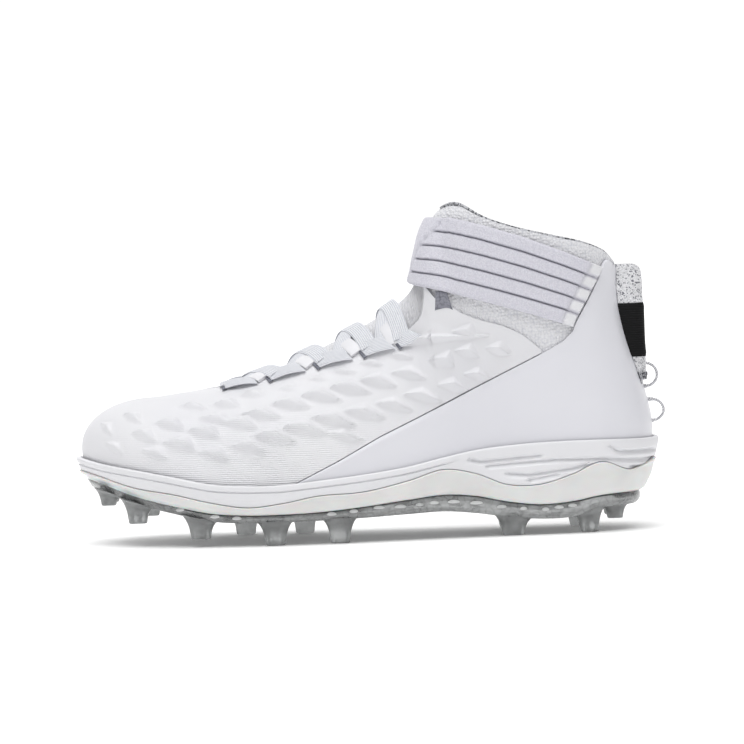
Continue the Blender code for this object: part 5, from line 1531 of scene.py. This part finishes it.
def build_stage(tints, sizes):
    """Floor, lit wall, lights and the camera at the photograph's angle."""
    bpy.ops.object.select_all(action="DESELECT")
    card = grained_material("matt studio card", tints.card, tints.card, 60.0, 200.0, 0.00001, Roughness=0.9,
                            Specular_IOR_Level=0.1, Emission_Color=WHITE, Emission_Strength=FLOOR_GLOW)
    lit = finish_of("lit studio wall", Base_Color=BLACK, Emission_Color=WHITE, Emission_Strength=WALL_GLOW)[0]
    for name, size, place, lean, material in (("studio_floor", FLOOR_SIZE, (0, 0, -FLOOR_DROP), 0, card),
                                              ("studio_wall", WALL_SIZE, (0, -6.0, 6.9), math.pi / 2, lit)):
        bpy.ops.mesh.primitive_plane_add(size=size, location=place, rotation=(lean, 0, 0))
        plane = bpy.context.object
        plane.name = name
        bpy.ops.object.transform_apply(location=True, rotation=True, scale=True)
        plane.data.materials.append(material)
    light = bpy.data.lights.new("overhead_softbox", "SUN")
    light.energy = sizes.sun_power
    light.angle = SOFTBOX_SPREAD
    sun = bpy.data.objects.new("overhead_softbox", light)
    bpy.context.scene.collection.objects.link(sun)
    sun.rotation_euler = Vector(SOFTBOX_FROM).to_track_quat("Z", "Y").to_euler()
    world = bpy.data.worlds.new("studio_air")
    world.use_nodes = True
    air = world.node_tree.nodes["Background"].inputs
    air["Color"].default_value, air["Strength"].default_value = WHITE, sizes.air_light
    bpy.context.scene.world = world
    bpy.context.scene.view_settings.view_transform = "Standard"
    lens = bpy.data.cameras.new("photo_camera")
    camera = bpy.data.objects.new("photo_camera", lens)
    bpy.context.scene.collection.objects.link(camera)
    back = Vector((0, math.cos(CAMERA_PITCH), math.sin(CAMERA_PITCH)))
    turn = (-back).to_track_quat("-Z", "Y").to_matrix() @ Matrix.Rotation(-CAMERA_ROLL, 3, "Z")
    camera.matrix_world = Matrix.Translation(Vector(CAMERA_AIM) + back * CAMERA_AWAY) @ turn.to_4x4()
    lens.sensor_width = 36
    lens.lens = 36 * CAMERA_AWAY / VIEW_WIDTH
    lens.clip_end = 50
    bpy.context.scene.camera = camera


# The add-on.


def length(name, description, value):
    return bpy.props.FloatProperty(name=name, description=description, default=value, min=0.0, precision=4,
                                   subtype="DISTANCE", unit="LENGTH")


def colour(name, description, code):
    return bpy.props.FloatVectorProperty(name=name, description=description, default=linear(code), size=4,
                                         min=0.0, max=1.0, subtype="COLOR")


class CleatSizes(bpy.types.PropertyGroup):
    """The sizes of the cleat's trim and relief, and the strength of its light."""

    lace_width: length("Lace width", "Width of the flat lace", 0.0090)
    lace_wall: length("Lace thickness", "Thickness of the flat lace", 0.0013)
    strap_wall: length("Strap thickness", "Thickness of the ankle strap's elastic", STRAP_WALL)
    tongue_crown: length("Tongue crown", "How far the tongue's padding swells between the laces", 0.0034)
    binding: length("Binding", "Thickness of the collar's rolled edge", 0.0021)
    groove_width: length("Groove width", "Width of the grooves in the heel's foam", 0.0015)
    groove_depth: length("Groove depth", "Depth of the grooves in the heel's foam", 0.0020)
    tape_width: length("Pull width", "Width of the pull tab's tape", 0.0170)
    bump_rise: bpy.props.FloatProperty(name="Bump rise", description="Height of a bump as a share of its half width",
                                       default=1.00, min=0.0, max=1.5, subtype="FACTOR")
    bump_tilt: bpy.props.FloatProperty(name="Bump tilt", description="Lean of the bumps towards the toe",
                                       default=math.radians(22), subtype="ANGLE", unit="ROTATION")
    sun_power: bpy.props.FloatProperty(name="Softbox", description="Light from overhead, in watts to the square metre",
                                       default=2.45, min=0.0)
    air_light: bpy.props.FloatProperty(name="Air light", description="Even light from all round", default=0.25, min=0.0)


class CleatColours(bpy.types.PropertyGroup):
    """The cleat's colours. Shade is the darker one of a pair; for the knits, elastic, lace, webbing and cords, it is
    painted shade in their pits, holes and grooves.
    """

    knit: colour("Knit", "Raised nubs of the white knit", "EBEBEE")
    # The white knit's pit colour is painted shade between its nubs.
    knit_shade: colour("Knit shade", "Pits of the white knit", "CDCED5")
    # The patch colours are partly the grey lining and partly painted shade under the strap.
    patch: colour("Patch", "Nubs of the heather knit under the top lace", "8C8D97")
    patch_shade: colour("Patch shade", "Pits of the heather knit", "4E4F59")
    skin: colour("Skin", "Moulded skin of the vamp", "E6E6E9")
    skin_shade: colour("Skin shade", "Moulded skin, drifting darker", "E2E2E6")
    wing: colour("Wing", "Film round the heel", "E5E5EA")
    wing_shade: colour("Wing shade", "Film round the heel, drifting darker", "E1E1E7")
    foam: colour("Foam", "Midsole", "E6E6E9")
    foam_shade: colour("Foam shade", "Midsole, drifting darker", "E2E2E5")
    frost: colour("Frost", "Milky frame of the sole", "E4E4E3")
    frost_shade: colour("Frost shade", "Milky frame, drifting darker", "DADAD9")
    smoke: colour("Smoke", "Clear plate and studs", "CCCECE")
    smoke_shade: colour("Smoke shade", "Clear plate and studs, cloudier", "A9ABAB")
    smoke_lines: colour("Smoke lines", "Cast-in mesh under the clear plate", "8A8C8C")
    oval: colour("Ovals", "Pale ovals along the plate", "D3D4D4")
    oval_shade: colour("Oval shade", "Pale ovals, drifting darker", "BDBFBF")
    elastic: colour("Elastic", "Ankle strap", "DFDEE6")
    # The elastic's pinhole colour is painted shade in the weave's holes.
    elastic_shade: colour("Elastic shade", "Pinholes of the ankle strap's weave", "CFCED8")
    # The channel colour is dark stitching, and painted shade in the strap's grooves and valleys.
    channel: colour("Channels", "Stitched channels across the strap", "7C7C88")
    lace: colour("Lace", "Ribs of the lace", "EEEFF3")
    # The lace's darker colour is painted shade between its ribs.
    lace_shade: colour("Lace shade", "Between the ribs of the lace", "D2D6E0")
    marl: colour("Marl", "Light yarn of the collar's edge and lining", "C4C5CA")
    marl_shade: colour("Marl shade", "Dark yarn of the collar's edge and lining", "3E3F46")
    tape: colour("Pull tape", "White knit of the pull tab", "EDEDF0")
    tape_shade: colour("Pull tape flecks", "Dark flecks in the pull tab", "85868D")
    # The darker colours of the webbing and the cords are painted shade between their ribs and plaits.
    black: colour("Webbing", "Sleeve of the pull tab", "0C0C0E")
    black_shade: colour("Webbing shade", "Between the ribs of the sleeve", "040405")
    cord: colour("Cord", "Heel cords", "DDDDE0")
    cord_shade: colour("Cord shade", "Between the plaits of the cords", "A4A4AA")
    # The slot colours are painted shadow in the gap where the lace dives under the skin.
    slot: colour("Slots", "Inside of the lace slots", "83858F")
    slot_shade: colour("Slot shade", "Inside of the lace slots, darker", "5A5C66")
    liner: colour("Liner", "Cloth of the footbed", "D8D8DC")
    liner_shade: colour("Liner shade", "Cloth of the footbed, darker", "B9B9C0")
    card: colour("Card", "Studio floor", "FFFFFF")


def finished(build, context):
    """Builds one operator's piece in the scene's colours and sizes."""
    build(context.scene.cleat_colours, context.scene.cleat_sizes)
    return {"FINISHED"}


class CLEAT_OT_knit(bpy.types.Operator):
    """Knits the sock of the upper"""

    bl_idname = "cleat.knit"
    bl_label = "Knit upper"

    def execute(self, context):
        return finished(build_knit, context)


class CLEAT_OT_binding(bpy.types.Operator):
    """Rolls the marl edge of the collar"""

    bl_idname = "cleat.binding"
    bl_label = "Collar binding"

    def execute(self, context):
        return finished(build_binding, context)


class CLEAT_OT_skin(bpy.types.Operator):
    """Moulds the skin of the toe and sides, with its bumps"""

    bl_idname = "cleat.skin"
    bl_label = "Moulded skin"

    def execute(self, context):
        return finished(build_skin, context)


class CLEAT_OT_wing(bpy.types.Operator):
    """Wraps the smooth film round the heel"""

    bl_idname = "cleat.wing"
    bl_label = "Heel wing"

    def execute(self, context):
        return finished(build_wing, context)


class CLEAT_OT_tongue(bpy.types.Operator):
    """Pads the tongue between the laces"""

    bl_idname = "cleat.tongue"
    bl_label = "Tongue"

    def execute(self, context):
        return finished(build_tongue, context)


class CLEAT_OT_laces(bpy.types.Operator):
    """Laces the throat: bars, loops, slots and arms"""

    bl_idname = "cleat.laces"
    bl_label = "Laces"

    def execute(self, context):
        return finished(build_laces, context)


class CLEAT_OT_patch(bpy.types.Operator):
    """Sets the heather patches under the strap"""

    bl_idname = "cleat.patch"
    bl_label = "Ankle patches"

    def execute(self, context):
        return finished(build_patch, context)


class CLEAT_OT_strap(bpy.types.Operator):
    """Wraps the elastic strap round the ankle"""

    bl_idname = "cleat.strap"
    bl_label = "Ankle strap"

    def execute(self, context):
        return finished(build_strap, context)


class CLEAT_OT_midsole(bpy.types.Operator):
    """Moulds the foam midsole and its grooves"""

    bl_idname = "cleat.midsole"
    bl_label = "Midsole"

    def execute(self, context):
        return finished(build_midsole, context)


class CLEAT_OT_frame(bpy.types.Operator):
    """Moulds the milky frame round the foam"""

    bl_idname = "cleat.frame"
    bl_label = "Frosted frame"

    def execute(self, context):
        return finished(build_frame, context)


class CLEAT_OT_plate(bpy.types.Operator):
    """Moulds the clear plate, its ovals and its studs"""

    bl_idname = "cleat.plate"
    bl_label = "Plate and studs"

    def execute(self, context):
        return finished(build_plate, context)


class CLEAT_OT_pull(bpy.types.Operator):
    """Sews the pull tab to the heel"""

    bl_idname = "cleat.pull"
    bl_label = "Heel pull"

    def execute(self, context):
        return finished(build_pull, context)


class CLEAT_OT_cords(bpy.types.Operator):
    """Finishes the two cord loops"""

    bl_idname = "cleat.cords"
    bl_label = "Heel cords"

    def execute(self, context):
        return finished(build_cords, context)


class CLEAT_OT_insole(bpy.types.Operator):
    """Finishes the footbed's cloth"""

    bl_idname = "cleat.insole"
    bl_label = "Insole"

    def execute(self, context):
        return finished(build_insole, context)


class CLEAT_OT_stage(bpy.types.Operator):
    """Sets up the floor, the light and the camera"""

    bl_idname = "cleat.stage"
    bl_label = "Stage"

    def execute(self, context):
        return finished(build_stage, context)


PIECES = [
    CLEAT_OT_knit, CLEAT_OT_binding, CLEAT_OT_skin, CLEAT_OT_wing, CLEAT_OT_tongue, CLEAT_OT_laces,
    CLEAT_OT_patch, CLEAT_OT_strap, CLEAT_OT_midsole, CLEAT_OT_frame, CLEAT_OT_plate, CLEAT_OT_pull,
    CLEAT_OT_cords, CLEAT_OT_insole, CLEAT_OT_stage,
]


class CLEAT_PT_panel(bpy.types.Panel):
    """The cleat's pieces in the order they are made, with their sizes and colours."""

    bl_idname = "CLEAT_PT_panel"
    bl_label = "Football cleat"
    bl_space_type = "VIEW_3D"
    bl_region_type = "UI"
    bl_category = "Cleat"

    def draw(self, context):
        for piece in PIECES:
            self.layout.operator(piece.bl_idname)
        for group in (context.scene.cleat_sizes, context.scene.cleat_colours):
            for name in type(group).__annotations__:
                self.layout.prop(group, name)


CLASSES = [CleatSizes, CleatColours, *PIECES, CLEAT_PT_panel]


def register():
    for item in CLASSES:
        bpy.utils.register_class(item)
    bpy.types.Scene.cleat_sizes = bpy.props.PointerProperty(type=CleatSizes)
    bpy.types.Scene.cleat_colours = bpy.props.PointerProperty(type=CleatColours)


def unregister():
    del bpy.types.Scene.cleat_colours
    del bpy.types.Scene.cleat_sizes
    for item in reversed(CLASSES):
        bpy.utils.unregister_class(item)


def main():
    register()
    for piece in PIECES:
        getattr(bpy.ops.cleat, piece.bl_idname.split(".")[1])()


if __name__ == "__main__":
    main()
